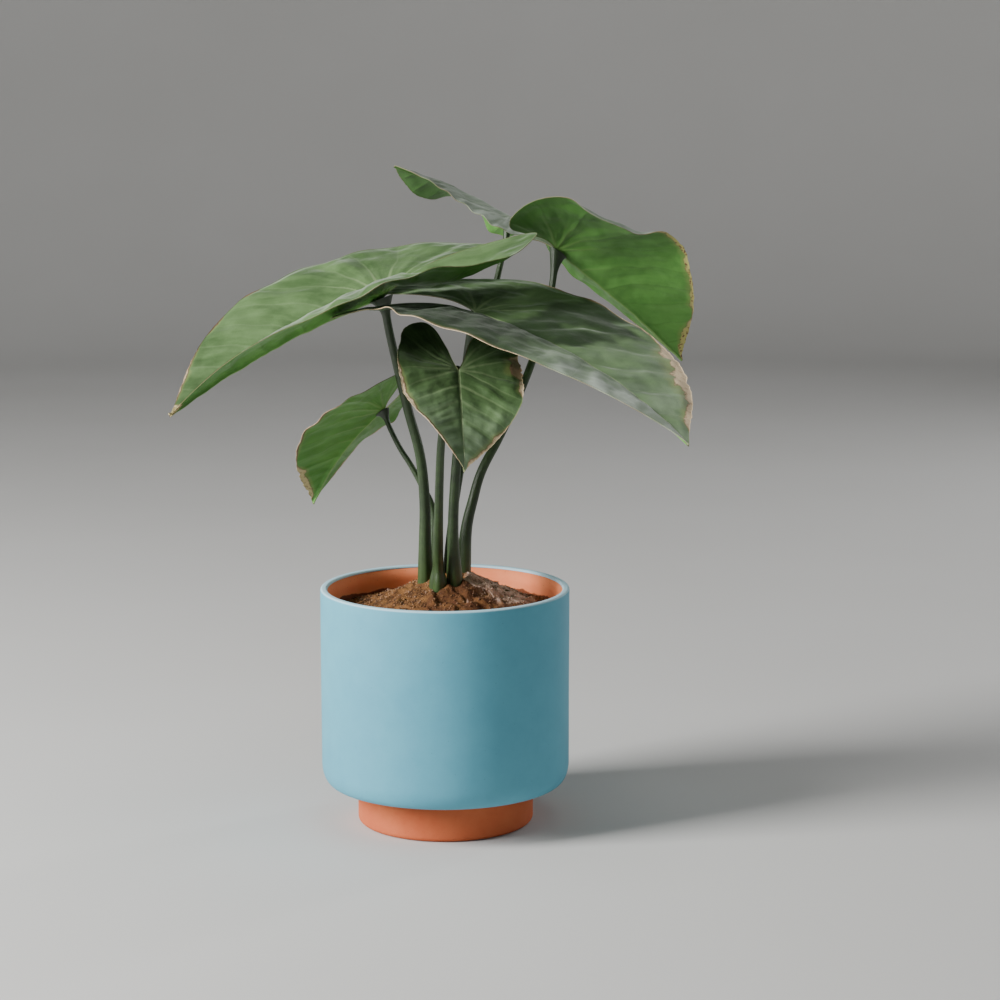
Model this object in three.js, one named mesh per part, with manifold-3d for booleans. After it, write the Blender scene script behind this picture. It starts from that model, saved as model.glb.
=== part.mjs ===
// A potted elephant ear taro: six arrow shaped leaves on leaf stalks, in a round blue pot with a
// terracotta liner and foot. Millimetres, +Z up, the centre of the foot's underside at the origin.
// The front of the pot faces -Y.
import * as THREE from "three";
import { mergeVertices } from "three/addons/utils/BufferGeometryUtils.js";
import Module from "manifold-3d";

const wasm = await Module();
wasm.setup();

// Driving dimensions, mm and degrees.
const GAP = 0.3;
const SEAT = 0.2;
const SIDES = 52;

const POT = {
  radius: 100,
  height: 192,
  wall: 2.6,
  lip: 5.6,
  lipDepth: 2,
  floor: 6,
  underside: 33,
  rimRound: 1.8,
  edgeRound: 8,
  edgeRise: 16,
};
const FOOT = { radius: 71, edgeRound: 4 };
const LINER = { floor: 6, corner: 8, cornerRise: 13, drainRadius: 8 };
const SOIL = {
  edgeZ: 173,
  crownZ: 200,
  crown: [6, 6],
  crownRadius: 16,
  lump: 1.6,
  holeFloorZ: 152,
  holePlay: 0.45,
};
const BLADE = {
  thickness: 1.3,
  rib: 1.5,
  ribWidth: 7,
  ripple: 1.3,
  rippleCount: 7,
};

// Outline of half a blade from the tip round the margin to the stalk: share of the length (negative:
// share of the lobe's length) and share of the half width. LOBE_TIP is the lobe's end in this list.
const MARGIN = [
  [1, 0],
  [0.94, 0.065],
  [0.82, 0.25],
  [0.64, 0.53],
  [0.44, 0.79],
  [0.24, 0.95],
  [0.04, 1],
  [-0.22, 0.96],
  [-0.5, 0.86],
  [-0.76, 0.68],
  [-0.93, 0.48],
  [-1, 0.33],
  [-0.92, 0.21],
  [-0.6, 0.13],
  [-0.25, 0.08],
  [0, 0],
];
const LOBE_TIP = 11;
const OUTER_POINTS = 4;

// Each leaf: where the stalk meets it, the way its midrib runs and bends, its roll about the midrib,
// its length and lobes, and for each half the width, the fold at the midrib, the curl to the margin,
// the trough of the lobe, and a slow wave. stalk: its route and radius up to the blade, where the
// second point lies at the soil. swell: how much wider the stalk is there.
const LEAVES = {
  a: {
    attach: [-47, -20, 427],
    heading: 205, pitch: -18, droop: 6, sweep: 27, lobePitch: 21, lobeTurn: -3,
    roll: 14, twist: 12, lobeRoll: 6, length: 214, lobe: 0.58, spread: 0.36, taper: 0.09, waves: 2,
    left: { width: 78, fold: 26, curl: -48, cup: 36, belly: 20, wave: -3, phase: -38 },
    right: { width: 92, fold: 44, curl: -26, cup: 16, belly: 4, wave: 2.3, phase: 27 },
    rows: 42,
    columns: 5,
    stalk: [
      [-16, 2, 155], [-16, 2, 200], [-16, 0, 232], [-16, -2, 263], [-19.5, -5, 300],
      [-28.5, -9, 336], [-38, -13.5, 377], [-43.5, -16.5, 403], [-47, -20, 426],
    ],
    stalkRadius: [5.4, 3],
  },
  b: {
    attach: [90, 62, 457],
    heading: 19, pitch: -36, droop: 3, sweep: 22, lobePitch: 36, lobeTurn: -8,
    roll: -13, twist: -8, lobeRoll: 0, length: 158, lobe: 0.3, spread: 0.3, taper: -0.3, waves: 2,
    left: { width: 62, fold: 33, lobeFold: -37, curl: -23, cup: -3.5, belly: 0, wave: 2.2, phase: -55 },
    right: { width: 97, fold: 25, lobeFold: -1, curl: -25, cup: -12, belly: 0, wave: 9, phase: 105 },
    rows: 38,
    columns: 5,
    stalk: [
      [15, 14, 155], [15.2, 14, 204], [17, 17, 235], [22.5, 21, 259], [30, 25, 283],
      [47, 31, 315], [68, 41, 362], [82, 51, 406], [87, 56, 430], [90, 62, 456],
    ],
    stalkRadius: [5.2, 2.4],
  },
  c: {
    attach: [54, 120, 481],
    heading: 172, pitch: 30, droop: 14, sweep: 4, lobePitch: -8, lobeTurn: 4,
    roll: 0, twist: 17, lobeRoll: 0, length: 106, lobe: 0.2, spread: 0.34, taper: -0.42, waves: 1.65,
    blunt: 1.3,
    left: { width: 46, fold: -12, lobeFold: 0, curl: 0, cup: 0, belly: 0, wave: 1, phase: 0 },
    right: { width: 43, fold: -18, lobeFold: 0, curl: 0, cup: 0, belly: 0, wave: 11, phase: 138 },
    rows: 30,
    columns: 4,
    stalk: [
      [2.5, 17, 155], [2.5, 17, 204], [5.5, 23, 240], [12, 36, 280], [22, 59, 336],
      [35, 86, 399], [47, 109, 449], [53, 118, 478],
    ],
    stalkRadius: [4.2, 2.2],
  },
  d: {
    attach: [24, -54, 418],
    heading: -39, pitch: -11, droop: 13, sweep: -23, lobePitch: 32, lobeTurn: 50,
    roll: -2, twist: -8, lobeRoll: 4, length: 253, lobe: 0.49, spread: 0.33, taper: -0.36, waves: 2,
    left: { width: 106, fold: 12, reach: 0.88, curl: -9, cup: 12, belly: 0, wave: -1.3, phase: 26 },
    right: { width: 89, fold: 10, lobeFold: 6, curl: -17, cup: 0, belly: 6, wave: 1, phase: 118 },
    rows: 44,
    columns: 5,
    stalk: [
      [7.3, -10, 155], [7.3, -10, 200], [6.5, -12, 240], [8.5, -14, 280], [12.5, -18, 325],
      [17, -25, 368], [20.5, -36, 397], [23, -46, 409], [24, -53, 416.6],
    ],
    stalkRadius: [5.2, 2.6],
    swell: 1,
  },
  e: {
    attach: [12, -86, 377],
    heading: -86, pitch: -36, droop: 10, sweep: 0, lobePitch: 13, lobeTurn: 0,
    roll: -13, twist: -19, lobeRoll: -16, length: 101, lobe: 0.46, spread: 0.48, taper: -0.26, waves: 2,
    left: { width: 51, fold: 12, curl: 0, cup: 11, belly: -3, wave: 4.5, phase: 26 },
    right: { width: 49, fold: 3, curl: -12, cup: -6, belly: 3, wave: 5, phase: 202 },
    rows: 34,
    columns: 5,
    stalk: [
      [-5.4, -16, 155], [-5.4, -16, 197], [-5, -21, 222], [-4, -36, 268], [-1.5, -56, 319],
      [4.5, -72, 352], [11.5, -85.5, 376],
    ],
    stalkRadius: [5.2, 2.3],
    swell: 2,
  },
  f: {
    attach: [-49, 32, 331],
    heading: 154, pitch: -37, droop: 20, sweep: -25, lobePitch: -15, lobeTurn: 2,
    roll: 11, twist: -14, lobeRoll: -11, length: 116, lobe: 0.4, spread: 0.33, taper: -0.19, waves: 2,
    left: { width: 66, fold: 9, curl: -13, cup: 6, belly: 0, wave: 2.1, phase: 48 },
    right: { width: 46, fold: 17, curl: -7, cup: 4, belly: 0, wave: 4.5, phase: -51 },
    rows: 32,
    columns: 4,
    stalk: [
      [-9.8, 11, 155], [-9.8, 11, 203], [-9, 13, 230], [-10.5, 16, 254], [-20, 19, 274],
      [-28, 22.5, 288], [-36.5, 26, 301], [-45, 29.5, 318], [-49, 32, 330],
    ],
    stalkRadius: [3.4, 1.9],
  },
};

const radians = THREE.MathUtils.degToRad;
const clamp = THREE.MathUtils.clamp;

// Uniform Catmull-Rom interpolation of number tuples, at t counted in control points.
function splineAt(points, t) {
  const i = clamp(Math.floor(t), 0, points.length - 2);
  const k = t - i;
  const b = points[i];
  const c = points[i + 1];
  const a = points[i - 1] ?? b.map((n, j) => 2 * n - c[j]);
  const d = points[i + 2] ?? c.map((n, j) => 2 * n - b[j]);
  return b.map(
    (n, j) =>
      0.5 *
      (2 * n +
        (c[j] - a[j]) * k +
        (2 * a[j] - 5 * n + 4 * c[j] - d[j]) * k * k +
        (3 * n - a[j] - 3 * c[j] + d[j]) * k * k * k),
  );
}

// The outline of one half in the flat blade: along the midrib and out from it, in mm.
function flatOutline(leaf, half) {
  return MARGIN.map(([along, out], i) => {
    if (along >= 0) {
      const blunt = (leaf.blunt ?? 0) * Math.sqrt(1 - along) * along ** 3;
      const outer = i > 0 && i <= OUTER_POINTS;
      const shaped = outer ? out * (1 - leaf.taper * along * (1 - out)) + blunt : out;
      return [along * leaf.length, shaped * half.width];
    }
    const widen = (leaf.spread / 0.33 - 1) * along * along * (i >= 9 ? 1 : 0.5);
    const reach = 1 + ((half.reach ?? 1) - 1) * Math.abs(along);
    return [along * leaf.length * leaf.lobe * reach, out * (1 + widen) * half.width];
  });
}

// Direction of the midrib and the blade's sideways and upward directions at a share of the way to the
// tip (positive) or to the ends of the lobes (negative).
function frameAt(leaf, share) {
  const ahead = share >= 0;
  const t = Math.abs(share);
  const heading = radians(leaf.heading + t * (ahead ? leaf.sweep : leaf.lobeTurn));
  const pitch = radians(leaf.pitch + t * (ahead ? -leaf.droop : leaf.lobePitch));
  const roll = radians(leaf.roll + t * (ahead ? leaf.twist : leaf.lobeRoll));
  const along = new THREE.Vector3(
    Math.cos(pitch) * Math.cos(heading),
    Math.cos(pitch) * Math.sin(heading),
    Math.sin(pitch),
  );
  const level = new THREE.Vector3(-Math.sin(heading), Math.cos(heading), 0);
  const side = level.clone().applyAxisAngle(along, roll);
  return { along, side, up: along.clone().cross(side) };
}

// The midrib's points at even steps, from the stalk to the tip and from the stalk to the lobes' ends.
function midribOf(leaf, steps = 24) {
  const line = (sign, reach) => {
    const points = [new THREE.Vector3(...leaf.attach)];
    for (let i = 0; i < steps; i++) {
      const { along } = frameAt(leaf, (sign * (i + 0.5)) / steps);
      points.push(points[i].clone().addScaledVector(along, (sign * reach) / steps));
    }
    return points;
  };
  return { ahead: line(1, leaf.length), back: line(-1, leaf.length * leaf.lobe) };
}

// A point of the curved blade from its place in the flat one.
function bladePoint(leaf, midrib, half, sign, u, v) {
  const reach = leaf.length * (u >= 0 ? 1 : leaf.lobe);
  const share = clamp(u / reach, -1, 1);
  const line = u >= 0 ? midrib.ahead : midrib.back;
  const step = Math.abs(share) * (line.length - 1);
  const i = Math.min(Math.floor(step), line.length - 2);
  const { side, up } = frameAt(leaf, share);
  const w = v / half.width;
  const back = clamp(-share, 0, 1);
  const angle = radians(half.fold + (half.lobeFold ?? 0) * back + half.curl * w * 0.5);
  const cup = half.cup * back * (1 - Math.min(w, 1)) ** 2;
  const belly =
    half.belly * Math.sin(Math.PI * back ** 0.7) * Math.sin(Math.PI * clamp((w - 0.1) / 0.9, 0, 1));
  const run = (u + leaf.length * leaf.lobe) / (leaf.length * (1 + leaf.lobe));
  const wave = half.wave * Math.sin(2 * Math.PI * leaf.waves * run + radians(half.phase)) * w * w;
  const ripple =
    BLADE.ripple * Math.sin(2 * Math.PI * BLADE.rippleCount * run + sign + half.phase) * w ** 4;
  return line[i]
    .clone()
    .lerp(line[i + 1], step - i)
    .addScaledVector(side, sign * v * Math.cos(angle))
    .addScaledVector(up, v * Math.sin(angle) + cup - belly + wave + ripple);
}

// The two skins and the edge of a blade as one closed geometry, with the same triangles in both skins.
// extra thickens the blade on both sides.
function bladeGeometry(leaf, extra = 0) {
  const midrib = midribOf(leaf);
  const middle = [];
  const ribShare = [];
  const faces = [];
  const indexOf = new Map();
  const attachRow = Math.round(leaf.rows * 0.6);
  const vertex = (key, make) => {
    if (!indexOf.has(key)) {
      const { point, share } = make();
      indexOf.set(key, middle.length);
      middle.push(point);
      ribShare.push(share);
    }
    return indexOf.get(key);
  };
  const rims = [];
  for (const [name, sign] of [["left", 1], ["right", -1]]) {
    const half = leaf[name];
    const outline = flatOutline(leaf, half);
    const grid = [];
    for (let i = 0; i <= leaf.rows; i++) {
      const onMidrib = i <= attachRow;
      const margin = splineAt(outline, (LOBE_TIP * i) / leaf.rows);
      const back = (i - attachRow) / (leaf.rows - attachRow);
      const spine = onMidrib
        ? [leaf.length * (1 - i / attachRow), 0]
        : splineAt(outline, outline.length - 1 - back * (outline.length - 1 - LOBE_TIP));
      const row = [];
      for (let j = 0; j <= leaf.columns; j++) {
        const t = j / leaf.columns;
        const u = spine[0] + (margin[0] - spine[0]) * t;
        const v = Math.max(spine[1] + (margin[1] - spine[1]) * t, 0);
        let key = `${name} ${i} ${j}`;
        if (i === 0) key = "tip";
        else if (i === leaf.rows) key = `${name} lobe`;
        else if (j === 0 && onMidrib) key = `midrib ${i}`;
        row.push(
          vertex(key, () => ({
            point: bladePoint(leaf, midrib, half, sign, u, v),
            share: Math.exp(-((v / BLADE.ribWidth) ** 2)) * clamp(u / leaf.length + 0.25, 0, 1),
          })),
        );
      }
      grid.push(row);
    }
    for (let i = 0; i < leaf.rows; i++)
      for (let j = 0; j < leaf.columns; j++) {
        const [a, b, c, d] = [grid[i][j], grid[i + 1][j], grid[i + 1][j + 1], grid[i][j + 1]];
        for (const f of [[a, b, c], [a, c, d]])
          if (new Set(f).size === 3) faces.push(sign > 0 ? f : [f[0], f[2], f[1]]);
      }
    const outer = grid.map((row) => row.at(-1));
    const inner = grid.slice(attachRow).map((row) => row[0]).reverse();
    rims.push([...outer, ...inner.slice(1)]);
  }
  const sheet = new THREE.BufferGeometry().setFromPoints(middle).setIndex(faces.flat());
  sheet.computeVertexNormals();
  const normals = sheet.getAttribute("normal");
  const upward = middle.map((_, i) => new THREE.Vector3().fromBufferAttribute(normals, i));
  const flip = upward[indexOf.get(`midrib ${attachRow}`)].dot(frameAt(leaf, 0).up) < 0 ? -1 : 1;
  const lift = BLADE.thickness / 2 + extra;
  const top = middle.map((p, i) => p.clone().addScaledVector(upward[i], flip * lift));
  const under = middle.map((p, i) =>
    p.clone().addScaledVector(upward[i], -flip * (lift + BLADE.rib * ribShare[i])),
  );
  const n = middle.length;
  const loop = [...rims[0], ...rims[1].slice(1, -1).reverse()];
  const triangles = faces.flatMap(([a, b, c]) => [[a, b, c], [a + n, c + n, b + n]]);
  loop.forEach((a, k) => {
    const b = loop[(k + 1) % loop.length];
    triangles.push([a, b, b + n], [a, b + n, a + n]);
  });
  return new THREE.BufferGeometry()
    .setFromPoints([...top, ...under])
    .setIndex(triangles.flatMap((t) => (flip > 0 ? t : [t[0], t[2], t[1]])));
}

// A closed round rod along a route, with its radius at each share of the way.
function rodGeometry(route, steps, sides, radiusAt) {
  const points = [];
  for (let i = 0; i <= steps; i++)
    points.push(new THREE.Vector3(...splineAt(route, (i / steps) * (route.length - 1))));
  const rings = [];
  let across = new THREE.Vector3(1, 0, 0);
  points.forEach((p, i) => {
    const ahead = points[Math.min(i + 1, steps)].clone().sub(points[Math.max(i - 1, 0)]).normalize();
    across = across.clone().addScaledVector(ahead, -across.dot(ahead)).normalize();
    const over = ahead.clone().cross(across);
    for (let k = 0; k < sides; k++) {
      const turn = (2 * Math.PI * k) / sides;
      const r = radiusAt(i / steps);
      rings.push(
        p
          .clone()
          .addScaledVector(across, r * Math.cos(turn))
          .addScaledVector(over, r * Math.sin(turn)),
      );
    }
  });
  const index = [];
  for (let i = 0; i < steps; i++)
    for (let k = 0; k < sides; k++) {
      const a = i * sides + k;
      const b = i * sides + ((k + 1) % sides);
      index.push(a, b, b + sides, a, b + sides, a + sides);
    }
  const last = steps * sides;
  for (let k = 1; k < sides - 1; k++)
    index.push(0, k + 1, k, last, last + k, last + k + 1);
  return new THREE.BufferGeometry().setFromPoints(rings).setIndex(index);
}

// manifold-3d solid of a closed geometry, and back.
function toSolid(geometry) {
  const plain = geometry.clone();
  plain.deleteAttribute("normal");
  plain.deleteAttribute("uv");
  const merged = mergeVertices(plain, 1e-4);
  return new wasm.Manifold(
    new wasm.Mesh({
      numProp: 3,
      vertProperties: merged.getAttribute("position").array,
      triVerts: new Uint32Array(merged.index.array),
    }),
  );
}

function toGeometry(solid) {
  const mesh = solid.getMesh();
  return new THREE.BufferGeometry()
    .setAttribute("position", new THREE.BufferAttribute(mesh.vertProperties, 3))
    .setIndex(new THREE.BufferAttribute(mesh.triVerts, 1));
}

// The stalk of a leaf: thick and sheathing at the soil, slender above, flared under the blade.
function stalkRadiusAt(leaf, t) {
  const [low, high] = leaf.stalkRadius;
  const sheath = 0.9 * Math.exp(-(((t - 0.12) / 0.1) ** 2));
  const aboveSoil = t * (leaf.stalk.length - 1) - 1;
  const base = (leaf.swell ?? 0) * Math.exp(-((aboveSoil / 0.4) ** 2));
  const flare = 2 * Math.exp(-(((t - 1) / 0.05) ** 2));
  return low + (high - low) * t ** 0.8 + sheath + base + flare;
}

function stalkGeometry(leaf) {
  const rod = toSolid(rodGeometry(leaf.stalk, 22, 10, (t) => stalkRadiusAt(leaf, t)));
  const cleared = rod.subtract(toSolid(bladeGeometry(leaf, 2 * GAP)));
  const pieces = cleared.decompose().sort((p, q) => q.volume() - p.volume());
  return toGeometry(pieces[0]);
}

// A lathed body from a closed profile of [radius, z], lower edge first.
function lathed(profile, sides = SIDES) {
  const points = profile.map(([r, z]) => new THREE.Vector2(r, z));
  const geometry = new THREE.LatheGeometry(points, sides);
  geometry.rotateX(Math.PI / 2);
  return geometry;
}

// Profile points of a quarter round from one angle to another, in degrees. rise: its radius upwards.
function arc(r, z, radius, from, to, steps = 4, rise = radius) {
  const points = [];
  for (let i = 0; i <= steps; i++) {
    const a = radians(from + ((to - from) * i) / steps);
    points.push([r + radius * Math.cos(a), z + rise * Math.sin(a)]);
  }
  return points;
}

// The glazed outside, with a lip over the top of the terracotta.
function outerPotGeometry() {
  const { radius, wall, lip, lipDepth, floor, rimRound, edgeRound, edgeRise, underside, height } = POT;
  const inner = radius - wall;
  const mouth = radius - lip;
  return lathed([
    [0, underside],
    ...arc(radius - edgeRound, underside + edgeRise, edgeRound, -90, 0, 5, edgeRise),
    ...arc(radius - rimRound, height - rimRound, rimRound, 0, 90, 3),
    ...arc(mouth + rimRound, height - rimRound, rimRound, 90, 180, 3),
    [mouth, height - lipDepth],
    [inner, height - lipDepth],
    [inner, underside + floor + LINER.cornerRise],
    [inner - LINER.corner, underside + floor],
    [0, underside + floor],
  ]);
}

function footGeometry() {
  const { radius, edgeRound } = FOOT;
  return lathed([
    [0, 0],
    ...arc(radius - edgeRound, edgeRound, edgeRound, -90, 0, 4),
    [radius, POT.underside - SEAT],
    [0, POT.underside - SEAT],
  ]);
}

// The liner's outer and inner radius, its height, and the height of its floor. Its inside is flush with
// the lip of the pot.
function linerSizes() {
  const outer = POT.radius - POT.wall - GAP;
  const base = POT.underside + POT.floor + SEAT;
  const top = POT.height - POT.lipDepth - GAP;
  return { outer, inner: POT.radius - POT.lip, base, floor: base + LINER.floor, top };
}

function linerGeometry() {
  const { outer, inner, base, floor, top } = linerSizes();
  const { corner, cornerRise, drainRadius } = LINER;
  return lathed([
    [drainRadius, base],
    [outer - corner, base],
    [outer, base + cornerRise],
    [outer, top],
    [inner, top],
    [inner, floor + cornerRise],
    [inner - corner, floor],
    [drainRadius, floor],
    [drainRadius, base],
  ]);
}

// Height of the soil at a point: a mound up to the stalks with lumps that fade out at the wall.
function soilHeight(x, y, rim) {
  const [crownX, crownY] = SOIL.crown;
  const r = Math.hypot(x - crownX, y - crownY);
  const nearest = rim - Math.hypot(crownX, crownY);
  const t = clamp((r - SOIL.crownRadius) / (nearest - SOIL.crownRadius), 0, 1);
  const slope = (1 - t) ** 1.35;
  const lumps =
    Math.sin(x * 0.31 + 1.3) * Math.cos(y * 0.27 - 0.6) +
    0.7 * Math.sin(x * 0.13 - y * 0.22 + 2.1) +
    0.5 * Math.cos(x * 0.52 + y * 0.45);
  return SOIL.edgeZ + (SOIL.crownZ - SOIL.edgeZ) * slope + SOIL.lump * lumps * clamp(1.4 - t, 0, 1);
}

function soilGeometry() {
  const { inner, floor } = linerSizes();
  const rim = inner - GAP;
  const rings = 11;
  const points = [new THREE.Vector3(0, 0, floor + SEAT)];
  const ringOf = (r, zAt) => {
    const start = points.length;
    for (let k = 0; k < SIDES; k++) {
      const a = (2 * Math.PI * k) / SIDES;
      const x = r * Math.cos(a);
      const y = r * Math.sin(a);
      points.push(new THREE.Vector3(x, y, zAt(x, y)));
    }
    return start;
  };
  const starts = [
    ringOf(rim - LINER.corner, () => floor + SEAT),
    ringOf(rim, () => floor + SEAT + LINER.cornerRise),
  ];
  for (let i = 0; i < rings - 1; i++) {
    const r = rim * (1 - (i / (rings - 1)) ** 1.1);
    starts.push(ringOf(r, (x, y) => soilHeight(x, y, rim)));
  }
  const crown = points.length;
  points.push(new THREE.Vector3(0, 0, soilHeight(0, 0, rim)));
  const index = [];
  for (let k = 0; k < SIDES; k++) {
    const next = (k + 1) % SIDES;
    index.push(0, starts[0] + next, starts[0] + k);
    for (let i = 0; i < rings; i++) {
      const [a, b] = [starts[i] + k, starts[i] + next];
      const [c, d] = [starts[i + 1] + next, starts[i + 1] + k];
      index.push(a, b, c, a, c, d);
    }
    index.push(starts[rings] + k, starts[rings] + next, crown);
  }
  let solid = toSolid(new THREE.BufferGeometry().setFromPoints(points).setIndex(index));
  for (const leaf of Object.values(LEAVES)) {
    const hole = rodGeometry(
      [[...leaf.stalk[0].slice(0, 2), SOIL.holeFloorZ], ...leaf.stalk.slice(1)],
      22,
      10,
      (t) => stalkRadiusAt(leaf, t) + SOIL.holePlay,
    );
    solid = solid.subtract(toSolid(hole));
  }
  return toGeometry(solid.decompose().sort((p, q) => q.volume() - p.volume())[0]);
}

// Materials, one function for each finish.
function finish(color, roughness, extra = {}) {
  return new THREE.MeshStandardMaterial({ color, roughness, metalness: 0, flatShading: false, ...extra });
}
const blueGlaze = () => finish("#7fb4c3", 0.55);
const terracotta = () => finish("#b5714a", 0.85);
const pottingSoil = () => finish("#4d3a2b", 0.95);
const leafBlade = () => finish("#5b7f4a", 0.5, { side: THREE.DoubleSide });
const leafStalk = () => finish("#4c6a48", 0.5);

function addMesh(group, name, geometry, material) {
  const mesh = new THREE.Mesh(geometry, material);
  mesh.geometry.computeVertexNormals();
  mesh.name = name;
  group.add(mesh);
}

const taro = new THREE.Group();
taro.name = "potted_elephant_ear_taro";
addMesh(taro, "foot", footGeometry(), terracotta());
addMesh(taro, "outer_pot", outerPotGeometry(), blueGlaze());
addMesh(taro, "inner_pot", linerGeometry(), terracotta());
addMesh(taro, "soil", soilGeometry(), pottingSoil());
for (const [letter, leaf] of Object.entries(LEAVES)) {
  addMesh(taro, `stalk_${letter}`, stalkGeometry(leaf), leafStalk());
  addMesh(taro, `blade_${letter}`, bladeGeometry(leaf), leafBlade());
}

export default taro;
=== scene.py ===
"""A potted elephant ear taro, dressed around its CAD frame.

Sizes in the dataclasses are millimetres and degrees, as in the part's source; meshes are in metres.
+Z is up, the front of the pot faces -Y, and the origin is the centre of the foot's underside.
"""

import logging
import math
from dataclasses import dataclass
from enum import Enum

import bpy
import numpy as np
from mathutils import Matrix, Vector, noise


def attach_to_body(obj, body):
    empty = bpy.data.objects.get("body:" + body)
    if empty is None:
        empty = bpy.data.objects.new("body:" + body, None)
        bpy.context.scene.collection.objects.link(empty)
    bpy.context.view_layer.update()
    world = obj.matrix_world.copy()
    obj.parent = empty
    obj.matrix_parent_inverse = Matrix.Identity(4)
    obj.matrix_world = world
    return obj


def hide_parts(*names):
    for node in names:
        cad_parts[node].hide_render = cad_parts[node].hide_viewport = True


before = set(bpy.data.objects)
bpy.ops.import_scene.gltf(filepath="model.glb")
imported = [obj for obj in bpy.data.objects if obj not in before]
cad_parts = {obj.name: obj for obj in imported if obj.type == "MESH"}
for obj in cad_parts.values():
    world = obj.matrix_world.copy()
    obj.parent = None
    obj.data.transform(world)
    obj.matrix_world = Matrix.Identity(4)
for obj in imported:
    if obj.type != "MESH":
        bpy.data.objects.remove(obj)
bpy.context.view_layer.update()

LOG = logging.getLogger("taro")
MM = 0.001
BODY = "root"
Pair = tuple[float, float]
Point = tuple[float, float, float]
Colour = tuple[float, float, float]
Socket = bpy.types.NodeSocket
Value = float | Socket
Array = np.ndarray


def srgb(red: int, green: int, blue: int) -> Colour:
    """Linear colour of an 8-bit sRGB one.

    Args:
        red: Red, 0 to 255.
        green: Green, 0 to 255.
        blue: Blue, 0 to 255.

    Returns:
        The linear red, green and blue, 0 to 1.
    """
    parts = [c / 255 for c in (red, green, blue)]
    return tuple(c / 12.92 if c <= 0.04045 else ((c + 0.055) / 1.055) ** 2.4 for c in parts)


def smooth(x: Array, start: float, end: float) -> Array:
    """Smooth step of x, 0 at start and 1 at end.

    Args:
        x: The values.
        start: Where the step starts.
        end: Where it ends, which may lie below start.

    Returns:
        The step at each value.
    """
    t = np.clip((x - start) / (end - start), 0, 1)
    return t * t * (3 - 2 * t)


def spline(points: Array, t: Array) -> Array:
    """Uniform Catmull-Rom curve through points, at t counted in points.

    Args:
        points: Control points, one per row.
        t: Places along the curve.

    Returns:
        One row for each place.
    """
    ends = [2 * points[0] - points[1]], [2 * points[-1] - points[-2]]
    padded = np.concatenate([ends[0], points, ends[1]])
    i = np.clip(np.floor(t).astype(int), 0, len(points) - 2)
    k = (t - i)[..., None]
    a, b, c, d = (padded[i + n] for n in range(4))
    cubic = (3 * b - a - 3 * c + d) * k**3 + (2 * a - 5 * b + 4 * c - d) * k**2
    return 0.5 * (2 * b + (c - a) * k + cubic)


def noise_at(points: Array, size: float, octaves: int = 3, seed: float = 0.0) -> Array:
    """Fractal noise at each point, about -1 to 1.

    Args:
        points: Places with two or three columns, mm.
        size: Size of the largest features, mm.
        octaves: How many finer layers are added.
        seed: Shifts the pattern.

    Returns:
        One value for each point.
    """
    flat = np.zeros((len(points), 3))
    flat[:, : points.shape[1]] = points
    flat = flat / size + seed
    return np.array([noise.fractal(Vector(p), 1.0, 2.0, octaves) for p in flat])


def unit(vectors: Array) -> Array:
    """Vectors of length 1 along the last axis."""
    return vectors / np.maximum(np.linalg.norm(vectors, axis=-1, keepdims=True), 1e-12)


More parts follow.
